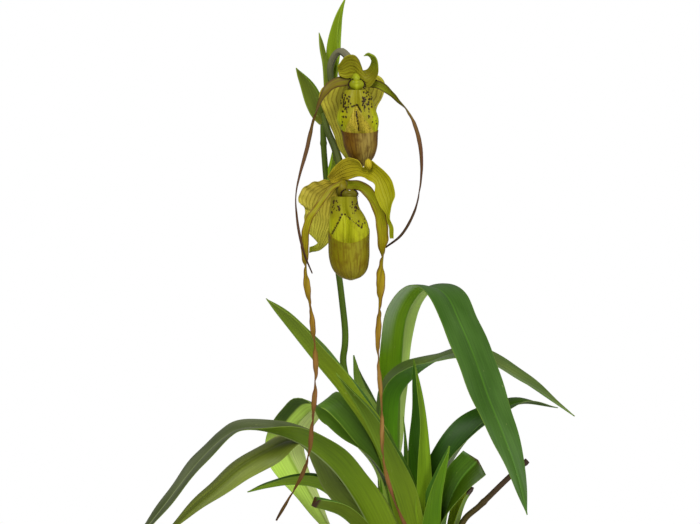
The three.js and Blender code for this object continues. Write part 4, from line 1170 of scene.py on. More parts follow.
BRACTS: dict[str, tuple[str, Blade]] = {
    "bract_top": ("bract", Blade(**BRACT_FORM | {
        "midrib": [(-58, 5, 450), (-59, 5, 474), (-55, 4, 491), (-50, 2, 503), (-46, -1, 510)],
        "width": 19, "foot_width": 12, "facing": (165, 160, 160), "seed": 31})),
    "bract_bud": ("bract", Blade(**BRACT_FORM | {
        "midrib": [(-61, 0, 446), (-62, -1, 463), (-64, -2, 474), (-65, -3, 485)],
        "width": 8, "foot_width": 6, "facing": (190,), "thickness": (0.8, 0.6),
        "fold": (56, 48, 40), "taper_from": 0.6, "point": 2.6, "tissue": OLD_BRACT,
        "seed": 32})),
    "bract_left": ("bract", Blade(**BRACT_FORM | {
        "midrib": [(-64, 1, 421.5), (-69, -1, 426.5), (-73.5, -3, 435.5), (-77.5, -4, 449),
                   (-81, -4, 460.5)],
        "width": 24, "foot_width": 14, "taper_from": 0.4, "point": 2.4,
        "facing": (180, 175, 175), "tissue": OLD_BRACT, "seed": 33})),
    "bract_right": ("bract", Blade(**BRACT_FORM | {
        "midrib": [(-57.5, 0, 374), (-54, -1, 390), (-55, -2, 406)],
        "width": 12, "foot_width": 9, "facing": (10, 15, 20), "thickness": (0.8, 0.7),
        "fold": (60, 52, 40), "seed": 34})),
}


# ---- stalks


@dataclass(frozen=True)
class Stalk(Piece):
    """A round stalk along a path, with its radius at even steps."""

    path: Points
    radius: tuple[float, ...]
    tissue: StalkTissue
    ribs: int = 0  # raised lines that run along it
    joints: tuple[float, ...] = ()  # shares of the length where a ring swells

    SIDES = 28
    STEP = 2.2  # mm
    LEAST_ROWS = 10
    RIB = 0.08  # height of a rib, as a share of the radius
    SWELL = 0.22  # how much wider a joint is
    SWELL_REACH = 1.6  # mm

    def fill(self, shape: Shape) -> None:
        """Adds the stalk.

        Args:
            shape: what it is added to.
        """
        path = Path(self.path)
        u = np.linspace(0, 1, max(self.LEAST_ROWS, round(path.length / self.STEP)))
        tangents = path.tangents(u)
        normal = unit(np.cross(tangents[0], [0.0, 1.0, 0.0]))
        normals = []
        for tangent in tangents:
            normal = unit(normal - tangent * np.dot(normal, tangent))
            normals.append(normal)
        angle = circle(self.SIDES)
        radius = along(self.radius, u)
        for joint in self.joints:
            off = (u - joint) * path.length / self.SWELL_REACH
            radius = radius * (1 + self.SWELL * bell(off))
        rib = self.RIB * np.cos(self.ribs * angle) if self.ribs else 0 * angle
        radius = radius[:, None] * (1 + rib)
        sideways = np.cross(tangents, normals)
        grid = np.ones_like(radius)
        shape.add_rings(
            tube(path.points(u), np.array(normals), sideways, radius, angle),
            np.stack([radius * angle, u[:, None] * path.length * grid, 0 * grid], axis=-1),
            np.stack([np.cos(angle) * grid, u[:, None] * grid, 0 * grid], axis=-1))


STALKS: dict[str, tuple[str, Stalk]] = {
    "flower_stem": ("stem", Stalk(
        path=[(5, 8, LEAF_FOOT), (-8, 7, 153), (-28, 6, 203), (-42, 5, 231), (-47.4, 4, 249),
              (-48.2, 4, 257), (-47, 3, 266), (-46.8, 3, 276), (-49, 2, 298), (-51.4, 2, 317),
              (-58, 2, 358), (-60, 2, 382), (-62, 2, 410), (-62, 2, 423), (-60, 2, 438),
              (-57, 2, 454)],
        radius=(3, 2.3, 2), tissue=STEM_TISSUE, joints=(0.74, 0.87))),
    "upper_pedicel": ("ovary", Stalk(
        path=[(-57, -1.5, 452), (-57, -4, 462), (-54, -7, 469), (-50, -10, 472),
              (-45, -13, 468), (-40.5, -17.5, 457)],
        radius=(2, 2.4, 2.8), tissue=UPPER_OVARY, ribs=6)),
    "lower_pedicel": ("ovary", Stalk(
        path=[(-62, -1.5, 429), (-59, -4, 417), (-54, -8, 405), (-50, -16, 392),
              (-47.5, -29, 382)],
        radius=(2, 2.5, 3), tissue=LOWER_OVARY, ribs=6)),
    "old_flower_spike": ("old_spike", Stalk(
        path=[(29, -1, LEAF_FOOT), (36, 0, 142), (48, -2, 154), (68, -4, 174), (81, -5, 186)],
        radius=(2.4, 2.1, 1.9), tissue=SPIKE_TISSUE, joints=(0.55, 0.98))),
}


# ---- flowers


@dataclass(frozen=True)
class Ribbon(Piece):
    """A narrow petal that twists as it hangs."""

    path: Points
    width: tuple[float, ...]
    half_turn: float  # mm of length in half a turn
    tissue: PetalTissue
    twist_from: float = 0.1
    wave: float = 0.5  # mm that the edges wave by
    seed: int = 1

    COLUMNS = 9
    STEP = 1.3  # mm
    ROLL = 20  # degrees at the foot
    THICKNESS = 0.8  # mm
    THINNING = 0.55  # share of it that is lost towards the edges
    POINT_EDGE = 0.1  # mm of half thickness where the ribbon runs out
    POINT_SLOPE = 0.3  # how fast it may thicken from there
    CHANNEL = 0.28  # how deep the ribbon folds, as a share of its half width
    WAVE_STEPS = (9, 14)  # mm

    def fill(self, shape: Shape) -> None:
        """Adds the petal.

        Args:
            shape: what it is added to.
        """
        path = Path(self.path)
        u = np.linspace(0, 1, round(path.length / self.STEP))
        points, tangents = path.points(u), path.tangents(u)
        flat = np.array([0.0, 1.0, 0.0]) - tangents * tangents[:, 1:2]
        turned = np.maximum(0, u - self.twist_from) * path.length * 180 / self.half_turn
        sideways = turn(np.cross(tangents, unit(flat)), tangents, self.ROLL + turned)
        outward = np.cross(tangents, sideways)
        half = along(self.width, u)[:, None] / 2
        v = np.linspace(-1, 1, self.COLUMNS)[None, :]
        waves = edge_waves(self.seed, u, v, path.length, self.WAVE_STEPS)
        lift = self.wave * ease(half / 3) * waves + self.CHANNEL * half * np.abs(v) ** 1.4
        middle = (points[:, None] + sideways[:, None] * (v * half)[..., None]
                  + outward[:, None] * lift[..., None])
        slim = self.THICKNESS / 2 * (1 - self.THINNING * v**2)
        slim = np.minimum(slim, self.POINT_EDGE + self.POINT_SLOPE * half)
        shape.add_sheet(middle, slim, slim, half, v, u, path.length)


@dataclass(frozen=True)
class Sheet(Piece):
    """A sepal: a sheet between two rails, crowned along its middle."""

    left: Points
    right: Points
    tissue: SepalTissue
    crown: tuple[float, ...] = (1, 2.5, 0.5)  # mm that its middle stands out
    ruffle: float = 0.5  # mm that its edges wave by
    ruffle_step: float = 11  # mm
    curl: Points = ()  # where a stretch of the margin is rolled up, if it is
    seed: int = 1

    COLUMNS = 45
    ROWS = 90
    THICKNESS = 0.9  # mm
    THINNING = 0.5  # share of it that is lost towards the edges
    PLEAT = 0.1  # mm that each vein is raised
    CURL_RADIUS = (0.8, 2, 2.4, 2.1, 0.7)  # mm, along the curl
    CURL_ROWS = 24
    CURL_SIDES = 20
    CURL_SHARE = 0.3  # how far its marks reach across the sepal
    CURL_SPREAD = 9  # mm for each whole share of them
    CURL_TONE = 0.1  # where on the lower face's colours it lies

    def fill(self, shape: Shape) -> None:
        """Adds the sepal.

        Args:
            shape: what it is added to.
        """
        u = np.linspace(0, 1, self.ROWS)
        left, right = Path(self.left), Path(self.right)
        start, end = left.points(u), right.points(u)
        across = end - start
        crown = unit(np.cross(np.gradient(start + end, axis=0), across))
        t = np.linspace(0, 1, self.COLUMNS)[None, :]
        lift = along(self.crown, u)[:, None] * 4 * t * (1 - t)
        lift = lift + self.PLEAT * np.cos(np.pi * self.tissue.veins * t)
        draw = random.Random(self.seed)
        for near, rail in ((1 - t, left), (t, right)):
            phase = draw.uniform(0, 2 * math.pi)
            wave = np.sin(2 * np.pi * u * rail.length / self.ruffle_step + phase)[:, None]
            lift = lift + self.ruffle * wave * near**5
        middle = start[:, None] + across[:, None] * t[..., None] + crown[:, None] * lift[..., None]
        v = 2 * t - 1
        slim = self.THICKNESS / 2 * (1 - self.THINNING * v**6) * np.ones_like(lift)
        shape.add_sheet(middle, slim, slim, np.linalg.norm(across, axis=1)[:, None] / 2, v, u,
                        (left.length + right.length) / 2)
        if self.curl:
            self._add_curl(shape)

    def _add_curl(self, shape: Shape) -> None:
        """Adds the rolled stretch of the margin, sunk into the sheet at both ends.

        Args:
            shape: the sepal's.
        """
        path = Path(self.curl)
        u = np.linspace(0, 1, self.CURL_ROWS)
        tangents, angle = path.tangents(u), circle(self.CURL_SIDES)[None, :]
        out = unit(np.cross(tangents, [0.0, 1.0, 0.0]))
        radius = along(self.CURL_RADIUS, u)[:, None]
        rings = tube(path.points(u), out, np.cross(out, tangents), radius, angle)
        across = self.CURL_SHARE * np.cos(angle) + 0 * radius
        place = [across * self.CURL_SPREAD, u[:, None] * path.length + 0 * across, 1 + 0 * across]
        share = [across, self.CURL_TONE + 0 * across, 0 * across]
        shape.add_rings(rings, np.stack(place, axis=-1), np.stack(share, axis=-1))


@dataclass(frozen=True)
class Spots:
    """Dark spots on a lip's lobes, drawn by chance in patches and along lines."""

    patches: tuple[tuple[float, float, float, float, int], ...]  # x, z, reach x, reach z, count
    lines: tuple[tuple[float, float, float, float, int], ...]  # from x, z to x, z, count
    radius: tuple[float, float] = (0.3, 0.7)
    seed: int = 5

    STRAY = 0.3  # mm that a spot may lie off its line

    def places(self) -> list[Vector]:
        """Draws the spots.

        Returns:
            Each spot's x, z and radius, in mm from the flower's middle.
        """
        draw = random.Random(self.seed)
        spots = []
        for x, z, reach_x, reach_z, count in self.patches:
            for _ in range(count):
                angle, far = draw.uniform(0, 2 * math.pi), math.sqrt(draw.random())
                spots.append((x + reach_x * far * math.cos(angle),
                              z + reach_z * far * math.sin(angle), draw.uniform(*self.radius)))
        for x0, z0, x1, z1, count in self.lines:
            for k in range(count):
                t = (k + draw.uniform(0.2, 0.8)) / count
                spots.append((x0 + (x1 - x0) * t + draw.uniform(-self.STRAY, self.STRAY),
                              z0 + (z1 - z0) * t + draw.uniform(-self.STRAY, self.STRAY),
                              draw.uniform(*self.radius)))
        return spots

    def cover(self, x: Array, z: Array) -> Array:
        """Finds how much each point lies in a spot.

        Args:
            x: the points' places across, in mm.
            z: their heights, in mm.

        Returns:
            A share from 0 to 1 for each point.
        """
        covered = np.zeros_like(x)
        for spot_x, spot_z, radius in self.places():
            off = np.hypot(x - spot_x, (z - spot_z) * 0.8)
            covered = np.maximum(covered, ease((radius * 1.35 - off) / (radius * 0.7)))
        return covered


@dataclass(frozen=True)
class Fold:
    """The raised panel where the lobes fold in, below an upturned V."""

    apex: tuple[float, float]  # x and z, in mm from the flower's middle
    left: tuple[float, float]
    right: tuple[float, float]
    rise: float = 1.3  # mm that the panel stands proud

    GROOVE = 1.2  # mm that its middle is cut in
    GROOVE_REACH = 0.8  # mm
    BLUR = 1.4  # mm that its border fades over

    def cover(self, x: Array, z: Array) -> Array:
        """Finds how far each point lies inside the V.

        Args:
            x: the points' places across, in mm.
            z: their heights, in mm.

        Returns:
            A share from 0 to 1 for each point.
        """
        inside = np.full_like(x, 9.0)
        for sign, end in ((1, self.left), (-1, self.right)):
            run, drop = end[0] - self.apex[0], end[1] - self.apex[1]
            off = run * (z - self.apex[1]) - drop * (x - self.apex[0])
            inside = np.minimum(inside, sign * off / math.hypot(run, drop))
        return ease(inside / self.BLUR + 0.5)

    def relief(self, x: Array, z: Array) -> Array:
        """Returns how far each point of the lobes stands forward, in mm."""
        middle = bell((x - self.apex[0]) / self.GROOVE_REACH)
        return self.cover(x, z) * (self.rise - self.GROOVE * middle)


@dataclass(frozen=True)
class Lip(Piece):
    """The slipper-shaped pouch and the two folded lobes above its rim."""

    outline: Points  # left side, right side and height, from the toe to the top
    pouch: LipTissue
    lobes: LipTissue
    spots: Spots
    fold: Fold
    forward: float  # where its upright axis lies on Y
    rim_rise: float  # how far the rim climbs behind, as a share of the outline
    lobe_depth: float  # how far the lobes stand forward, as a share of the pouch

    FRONT = 150  # points round the front
    BACK = 50
    CUP_ROWS = 60
    LOBE_ROWS = 90
    FRONT_DEPTH = 0.85  # as shares of half the width
    BACK_DEPTH = 0.7
    RIM = 0.5  # share of the outline where the pouch ends
    RIM_ROUNDING = 0.25  # mm
    WALL = 1.0  # mm
    TOE = 1.2  # mm that the pouch is thick at its toe
    LEAST_REACH = 0.4  # mm
    LOBE_FOOT = 0.86  # the lobes start inside the pouch, at this share of its height
    LOBE_INSET = 0.4  # mm
    GROOVE = (0.3, 0.16)  # depth and reach of the groove between the lobes, as shares
    PINCH = (0.12, 0.05)  # the same where they are pinched together, low down
    SPOT_RISE = 0.15  # mm

    def _place(self, t: Array, angle: Array, inset: float) -> Array:
        """Finds points of the lip's surface.

        Args:
            t: shares of the outline, from the toe up.
            angle: angles round the lip, 0 in front.
            inset: mm that the points are set in by.

        Returns:
            The points, from the flower's middle.
        """
        left, right, height = (along([row[k] for row in self.outline], t) for k in range(3))
        half, middle = (right - left) / 2, (right + left) / 2
        reach = np.maximum(half - inset, self.LEAST_REACH)
        depth = reach * np.where(np.cos(angle) > 0, self.FRONT_DEPTH, self.BACK_DEPTH)
        return np.stack([middle + reach * np.sin(angle),
                         self.forward - depth * np.cos(angle), height], axis=-1)

    def fill(self, shape: Shape) -> None:
        """Adds the pouch and its lobes.

        Args:
            shape: what they are added to.
        """
        angle = np.concatenate([  # closer together in front
            np.linspace(-np.pi / 2, np.pi / 2, self.FRONT, endpoint=False),
            np.linspace(np.pi / 2, 3 * np.pi / 2, self.BACK, endpoint=False)])
        rim = self.RIM + self.rim_rise * (1 - np.cos(angle)) * 0.5
        up = np.linspace(0, 1, self.CUP_ROWS)[:, None]
        down = np.linspace(1, 0.02, self.CUP_ROWS)[:, None]
        out = self._place(rim * up, angle + 0 * up, 0.0)
        inner = self._place(rim * down, angle + 0 * down, self.WALL)
        inner[..., 2] += self.TOE * (1 - down)
        inner[0, :, 2] += self.RIM_ROUNDING
        self._add(shape, np.concatenate([out, inner]), angle, np.concatenate([up, down]), 0)

        rows = np.linspace(0, 1, self.LOBE_ROWS)[:, None]
        foot = self.RIM * self.LOBE_FOOT
        lobes = self._place((foot + (1 - foot) * rows) + 0 * angle, angle + 0 * rows,
                            self.LOBE_INSET)
        front = np.cos(angle) > 0
        groove, pinch = (depth * bell(np.sin(angle) / reach)
                         for depth, reach in (self.GROOVE, self.PINCH))
        setback = self.lobe_depth * (1 - groove) - pinch * (1 - rows)
        depth = (self.forward - lobes[..., 1]) * np.where(front, setback, 1)
        lobes[..., 1] = self.forward - depth
        lobes[..., 1] -= self.fold.relief(lobes[..., 0], lobes[..., 2]) * front
        self._add(shape, lobes, angle, rows, 1)

    def materials(self) -> list[bpy.types.Material]:
        """Returns the pouch's material and that of the lobes."""
        return [self.pouch.material(), self.lobes.material()]

    def _add(self, shape: Shape, rings: Array, angle: Array, rows: Array, finish: int) -> None:
        """Adds one of the lip's two bodies.

        Args:
            shape: the lip's.
            rings: the body's skin.
            angle: the angles round it.
            rows: shares of its height.
            finish: 0 for the pouch and 1 for the lobes, which are spotted.
        """
        x, z = rings[..., 0], rings[..., 2]
        across = 0 * x + angle * np.abs(x).max()
        spotted, panel = 0 * x, 0 * x
        if finish == 1:
            front = np.cos(angle) > 0
            spotted, panel = self.spots.cover(x, z) * front, self.fold.cover(x, z) * front
            rings = rings - np.stack([0 * x, self.SPOT_RISE * spotted, 0 * x], axis=-1)
        share = np.stack([angle / np.pi + 0 * x, rows + 0 * x, spotted], axis=-1)
        shape.add_rings(rings, np.stack([across, z, panel], axis=-1), share, finish)


@dataclass(frozen=True)
class Column(Piece):
    """The column with its shield-shaped staminode, edged with dark hairs."""

    body: Vector  # half its sizes
    staminode: Vector  # the shield's middle
    shield: Vector  # half its sizes
    tissue: LipTissue
    seat: Vector = (0, 0, 0)  # the body's middle
    seed: int = 8

    SIDES = 48
    ROWS = 26
    HAIRS = 170
    HAIR_STEPS = 4
    HAIR_RADIUS = 0.22  # mm that the root is thicker than the tip
    HAIR_TIP = 0.04  # mm
    HAIR_ROOT = 0.9  # how far out on the shield the hairs stand
    HAIR_CLIMB = (-35, 66)  # degrees above the shield's widest line
    HAIR_LENGTH = (0.9, 1.9)  # mm
    NOTCH = 0.3  # depth and width, as shares of the shield
    TOOTH = 0.22
    DENT = 0.25
    DENT_REACH = math.sqrt(0.12)

    def _dome(self, centre: Vector, radii: Vector) -> Array:
        """Returns rings of a rounded body about the Y axis."""
        tilt = np.linspace(0.02, np.pi - 0.02, self.ROWS)[:, None]
        angle = circle(self.SIDES)[None, :]
        return centre + np.stack([radii[0] * np.sin(tilt) * np.cos(angle),
                                  radii[1] * -np.cos(tilt) + 0 * angle,
                                  radii[2] * np.sin(tilt) * np.sin(angle)], axis=-1)

    def fill(self, shape: Shape) -> None:
        """Adds the column, its staminode and the hairs.

        Args:
            shape: what they are added to.
        """
        body = self._dome(self.seat, self.body)
        shape.add_rings(body, self._marks(body, 1), self._marks(body, 0))
        shield = self._dome(self.staminode, self.shield)
        x, y, z = np.moveaxis((shield - self.staminode) / self.shield, -1, 0)
        # A notch at the top, a small tooth below and a shallow dent in front
        notch = self.NOTCH * bell(x / self.NOTCH) * np.clip(z, 0, 1)
        tooth = self.TOOTH * bell(x / self.TOOTH) * np.clip(-z, 0, 1)
        shield[..., 2] -= (notch + tooth) * self.shield[2]
        dent = self.DENT * bell(np.hypot(x, z - 0.1) / self.DENT_REACH)
        shield[..., 1] += self.shield[1] * dent * (y < 0)
        shape.add_rings(shield, self._marks(shield, 0), self._marks(shield, 0))
        self._add_hairs(shape)

    def materials(self) -> list[bpy.types.Material]:
        """Returns the column's material and that of its hairs."""
        return [self.tissue.material(), HAIR.material()]

    def _marks(self, rings: Array, last: float) -> Array:
        """Returns marks for a body: shares across and up, and a third value."""
        low, high = rings.min(axis=(0, 1)), rings.max(axis=(0, 1))
        part = (rings - low) / (high - low)
        return np.stack([2 * part[..., 0] - 1, part[..., 2], 0 * part[..., 0] + last], axis=-1)

    def _add_hairs(self, shape: Shape) -> None:
        """Adds short bent hairs along the shield's upper sides.

        Args:
            shape: the column's.
        """
        draw = random.Random(self.seed)
        corners = np.array([(math.cos(a), math.sin(a) * 0.5, math.sin(a)) for a in (0, 2.09, 4.19)])
        for k in range(self.HAIRS):
            side = -1 if k % 2 else 1
            climb = math.radians(draw.uniform(*self.HAIR_CLIMB))
            x, z = side * math.cos(climb), math.sin(climb)
            outward = unit(np.array([x, draw.uniform(-0.7, -0.1), z]))
            root = self.staminode + np.array([x * self.shield[0] * self.HAIR_ROOT, -0.8,
                                              z * self.shield[2] * self.HAIR_ROOT])
            length = draw.uniform(*self.HAIR_LENGTH)
            curve = np.array([draw.uniform(-0.3, 0.3), -0.3, draw.uniform(-0.7, 0.2)])
            rings = [root + outward * length * t + curve * t * t
                     + (self.HAIR_RADIUS * (1 - t) + self.HAIR_TIP) * corners
                     for t in np.linspace(0, 1, self.HAIR_STEPS)]
            shape.add_rings(np.array(rings), finish=1)


@dataclass(frozen=True)
class Flower:
    """One flower. Its pieces' points are set from the middle of its column."""

    name: str
    middle: Vector
    column: Column
    lip: Lip
    dorsal: Sheet
    synsepal: Sheet
    petals: dict[str, Ribbon]
    petal_slot: str
    lip_slot: str

    def build(self) -> None:
        """Builds the flower's six pieces."""
        parts = [(self.column, "staminode", "column", "column"),
                 (self.lip, "pouch", "lip", self.lip_slot),
                 (self.dorsal, "hood", "dorsal_sepal", "sepal"),
                 (self.synsepal, "apron", "synsepal", "sepal")]
        parts += [(ribbon, f"ribbon_{side}", f"petal_{side}", self.petal_slot)
                  for side, ribbon in self.petals.items()]
        for part, name, node, slot in parts:
            part.build(Label(f"{self.name}_{name}", f"{self.name}_{node}", slot), self.middle)


HAIR = StalkTissue("staminode_hair", ("#2a140e", "#1e0f0a"), "#140a08", 0.6)

LOWER_FLOWER = Flower(
    name="lower",
    middle=(-47, -34, 379),
    petal_slot="petal",
    lip_slot="lip",
    column=Column(
        body=(4.7, 7, 6.6), seat=(-1.8, -0.5, -2), staminode=(3.2, -7.8, -5.5),
        shield=(5.6, 3, 3.8),
        tissue=LipTissue("lower_staminode", ("#4e4a06", "#56500a"), "#3c3206", "#5a540a",
                         "#2a140e", panel="#6c6210"),
    ),
    lip=Lip(
        outline=[(3.2, 5.2, -64.4), (-3.4, 11.3, -62), (-8.2, 15.4, -57), (-10.8, 16.9, -49),
                 (-11.3, 17, -38.5), (-11.3, 16.9, -28), (-10.9, 14.2, -20.5),
                 (-10.6, 10.3, -14), (-9.4, 9, -7)],
        # The lower pouch's pale middle, #868022, is a painted highlight a little right of centre
        pouch=LipTissue("lower_pouch", ("#766204", "#7a6c04", "#6e6405", "#696408"), "#5a4406",
                        "#868022", "#3a200e", pale_middle_and_highlight_at=0.1),
        lobes=LipTissue("lower_lobes", ("#989a0c", "#908e0a", "#78740e", "#625c14"), "#76720c",
                        "#868812", "#30200c", panel="#979a16", cheek="#989c0e"),
        spots=Spots(
            patches=((-6.6, -14.5, 3.6, 5, 20), (6.6, -13.5, 3.2, 5, 18), (12, -24.5, 2.6, 3, 6)),
            lines=((-1.4, -18.4, -9.2, -33, 11), (-1, -18.4, 12, -28.2, 14)),
        ),
        fold=Fold(apex=(-1.2, -18.9), left=(-8.7, -34.2), right=(14.6, -28.6)),
        forward=-7, rim_rise=0.2, lobe_depth=0.74,
    ),
    dorsal=Sheet(
        left=[(-12, 3, 6), (-8, -2, 12), (0, -7, 19), (8, -11, 18.4), (12.5, -13, 13),
              (17, -15, 18), (23, -18, 14), (31, -22, 6), (34, -26, -5), (31, -28, -14),
              (30, -27, -20), (33, -25, -28), (33, -23, -35)],
        right=[(-9, 6, 2), (-1, 3, 4), (4, -3, 5), (10, -8, 7), (15, -13, 5), (20, -18, 2),
               (21, -22, -6), (24, -25, -13), (28, -26, -19), (30, -24, -28), (31, -22, -35)],
        tissue=SepalTissue("lower_dorsal", ("#9c8a18", "#97891f", "#9a9410", "#8f9414"),
                           ("#ac9a22", "#8b840c", "#858405", "#7a800c"), "#665208", veins=11,
                           strength=0.4),
        curl=[(17.2, -14.6, 12), (16.5, -15.8, 14.4), (16, -15.6, 16.8), (16.2, -14.4, 18.8)],
        seed=3,
    ),
    synsepal=Sheet(
        left=[(-3, 5, 4), (-14, 8, 4), (-23, 11, 2), (-30, 13, -3), (-32, 12, -11),
              (-28, 13, -15), (-28, 16, -25), (-25, 18, -33), (-19, 19, -38), (-19.6, 18, -41),
              (-24.6, 15, -42.4)],
        right=[(1, 7, 2), (-2, 11, -3), (-2, 14, -8), (-3, 17, -14), (-3, 18, -19),
               (-4, 19, -24), (-6, 20, -30), (-8, 20, -35), (-12, 20, -40.5), (-17, 19, -44.8),
               (-24.8, 16, -46.6)],
        tissue=SepalTissue("lower_synsepal", ("#978518", "#a39532", "#b6b03c", "#828a1c"),
                           ("#8f8418", "#9a9430", "#a49e34", "#7c8420"), "#6a5e10", veins=13,
                           strength=0.7),
        ruffle=0.9, ruffle_step=8, seed=4,
    ),
    petals={
        "left": Ribbon(
            path=[(-1, -4.4, 2.6), (-8.5, -7, -1), (-17, -11, -12), (-24.5, -13, -23),
                  (-27, -13, -36), (-26.5, -13, -52), (-25.5, -14, -71), (-22.5, -15, -91),
                  (-20, -15, -112), (-20.5, -16, -136), (-22, -18, -163), (-28, -20, -194),
                  (-47, -22, -228)],
            width=(3.2, 5.6, 4, 3.7, 3, 2), half_turn=26, twist_from=0.24, seed=21,
            tissue=PetalTissue(
                "lower_petal_left", ("#7e7c08", "#8c8808", "#8e7a10", "#86641e", "#825a30",
                                     "#6e442c", "#50301f", "#1e1414"), "#5c3818", "#5e4c12"),
        ),
        "right": Ribbon(
            path=[(2, -5, 1.5), (12, -8, 0), (19, -12, -7), (24.5, -13, -19), (26.5, -13, -42),
                  (25, -14, -60), (23, -15, -91), (23, -16, -112), (25, -20, -152),
                  (27, -24, -188), (34, -25, -215), (45, -26, -238)],
            width=(7.2, 8.4, 5.8, 3.4, 3, 2.9, 2.4), half_turn=34, twist_from=0.2, seed=22,
            tissue=PetalTissue(
                "lower_petal_right", ("#748004", "#868608", "#8e7c0a", "#8a6a1a", "#8a6632",
                                      "#8c663c", "#744630", "#54301f"), "#5a3818", "#665410"),
        ),
    },
)

UPPER_FLOWER = Flower(
    name="upper",
    middle=(-39, -22, 452),
    petal_slot="dark_petal",
    lip_slot="dark_lip",
    column=Column(
        body=(4.2, 7, 5.5), staminode=(0.2, -7, -3.2), shield=(5.4, 3, 4),
        tissue=LipTissue("upper_staminode", ("#868c10", "#6c7010"), "#626810", "#949c18",
                         "#2a140e", panel="#848c1a"),
        seed=9,
    ),
    lip=Lip(
        outline=[(3.2, 5.6, -59.6), (-1.4, 9, -57), (-5.2, 12.2, -53), (-8.4, 14.4, -46),
                 (-10, 14.9, -37), (-13.8, 15.8, -28), (-12.6, 13.6, -20), (-11, 11.4, -12),
                 (-8.2, 8.6, -7)],
        # The upper pouch's pale middle, #9a8a44, is a painted highlight a little right of centre
        pouch=LipTissue("upper_pouch", ("#66460a", "#6c500e", "#6a4c10", "#5c400c"), "#40240a",
                        "#9a8a44", "#2a140e", pale_middle_and_highlight_at=0.12),
        lobes=LipTissue("upper_lobes", ("#8c8a0a", "#888408", "#807a10", "#78740e"), "#6e6810",
                        "#84801a", "#24160c", panel="#a8962e", speckle=0.55, cheek="#9aa40a"),
        spots=Spots(
            patches=((-7.5, -15.5, 3.8, 7.5, 42), (7.4, -14.5, 3.8, 8, 46),
                     (4.7, -13.9, 1.8, 1.2, 8), (-8.6, -26, 1.6, 2.2, 5), (9.4, -25.5, 2, 1.6, 5),
                     (12.4, -29.5, 1.6, 2, 3), (-10.4, -30, 1.5, 2, 3)),
            lines=((-3.2, -18.8, 0.4, -17, 7), (0.4, -17, 3.4, -21.8, 8),
                   (-0.3, -21.8, 1.8, -34.9, 18)),
            radius=(0.3, 0.68), seed=6,
        ),
        fold=Fold(apex=(-0.6, -17.5), left=(-8.6, -37), right=(11.6, -35), rise=0.9),
        forward=-6.5, rim_rise=0.06, lobe_depth=0.78,
    ),
    dorsal=Sheet(
        crown=(2, 1, 1),
        left=[(-13, -11, 9), (-7, -14, 16), (-2, -11, 17), (2, -5, 13), (3, -2, 7), (7, -3, 7),
              (10, -6, 12), (10, -9, 14), (8, -11, 16), (5, -12, 16)],
        right=[(-12, -7, 3), (-7, -5, 1), (-2, -3, 2), (0, -2, 1), (4, -5, -3), (9, -9, -5),
               (14, -11, 2), (15, -13, 9), (13, -15, 15), (9, -16, 18)],
        tissue=SepalTissue("upper_dorsal", ("#7c7a14", "#80741c", "#7c701c", "#6c7c10"),
                           ("#807e10", "#77740e", "#66640c", "#86a020"), "#5c440c", veins=7,
                           strength=0.6),
        ruffle=0.2, seed=5,
    ),
    synsepal=Sheet(
        left=[(-4, 5, 3), (-15, 6, 0), (-24, 7, -6), (-26, 9, -12), (-24, 10, -18),
              (-20, 11, -28), (-16, 11, -37), (-12, 11, -48), (-6, 11, -56)],
        right=[(4, 5, 4), (12, 6, 4), (18, 7, 1), (20, 8, -4), (18, 10, -12), (14, 11, -20),
               (14, 11, -29), (10, 11, -43), (-2, 11, -57)],
        tissue=SepalTissue("upper_synsepal", ("#8c8e1a", "#a8a032", "#a69e32", "#929228"),
                           ("#7a7c1c", "#908a30", "#8a8430", "#7c8028"), "#70601a", veins=15,
                           strength=0.85),
        seed=6,
    ),
    petals={
        "left": Ribbon(
            path=[(-4, -2, 0), (-17, -8, -4), (-26, -14, -19), (-34, -20, -48), (-41, -25, -75),
                  (-41, -28, -92), (-36, -31, -117), (-30, -32, -132)],
            width=(8, 4.6, 2.2, 1.9, 1.4), half_turn=60, seed=23, wave=0.25,
            tissue=PetalTissue("upper_petal_left", ("#66660a", "#605410", "#503820", "#42281c",
                                                    "#36201a", "#1e1616"), "#3e2618", "#5a4020"),
        ),
        "right": Ribbon(
            path=[(4, -2, -1), (17, -7, -4), (30, -9, -15), (39, -12, -27.5), (44, -14, -47),
                  (44, -16, -69), (40, -18, -89), (31, -19, -106), (20, -19, -115)],
            width=(6.6, 4.6, 2.5, 2.2, 1.4), half_turn=60, seed=24, wave=0.25,
            tissue=PetalTissue("upper_petal_right", ("#727e06", "#74820c", "#64481e", "#4c2c20",
                                                     "#442a20", "#2a1c1a", "#161214"),
                               "#3e2818", "#5a4420"),
        ),
    },
)


# ---- pot and its fill


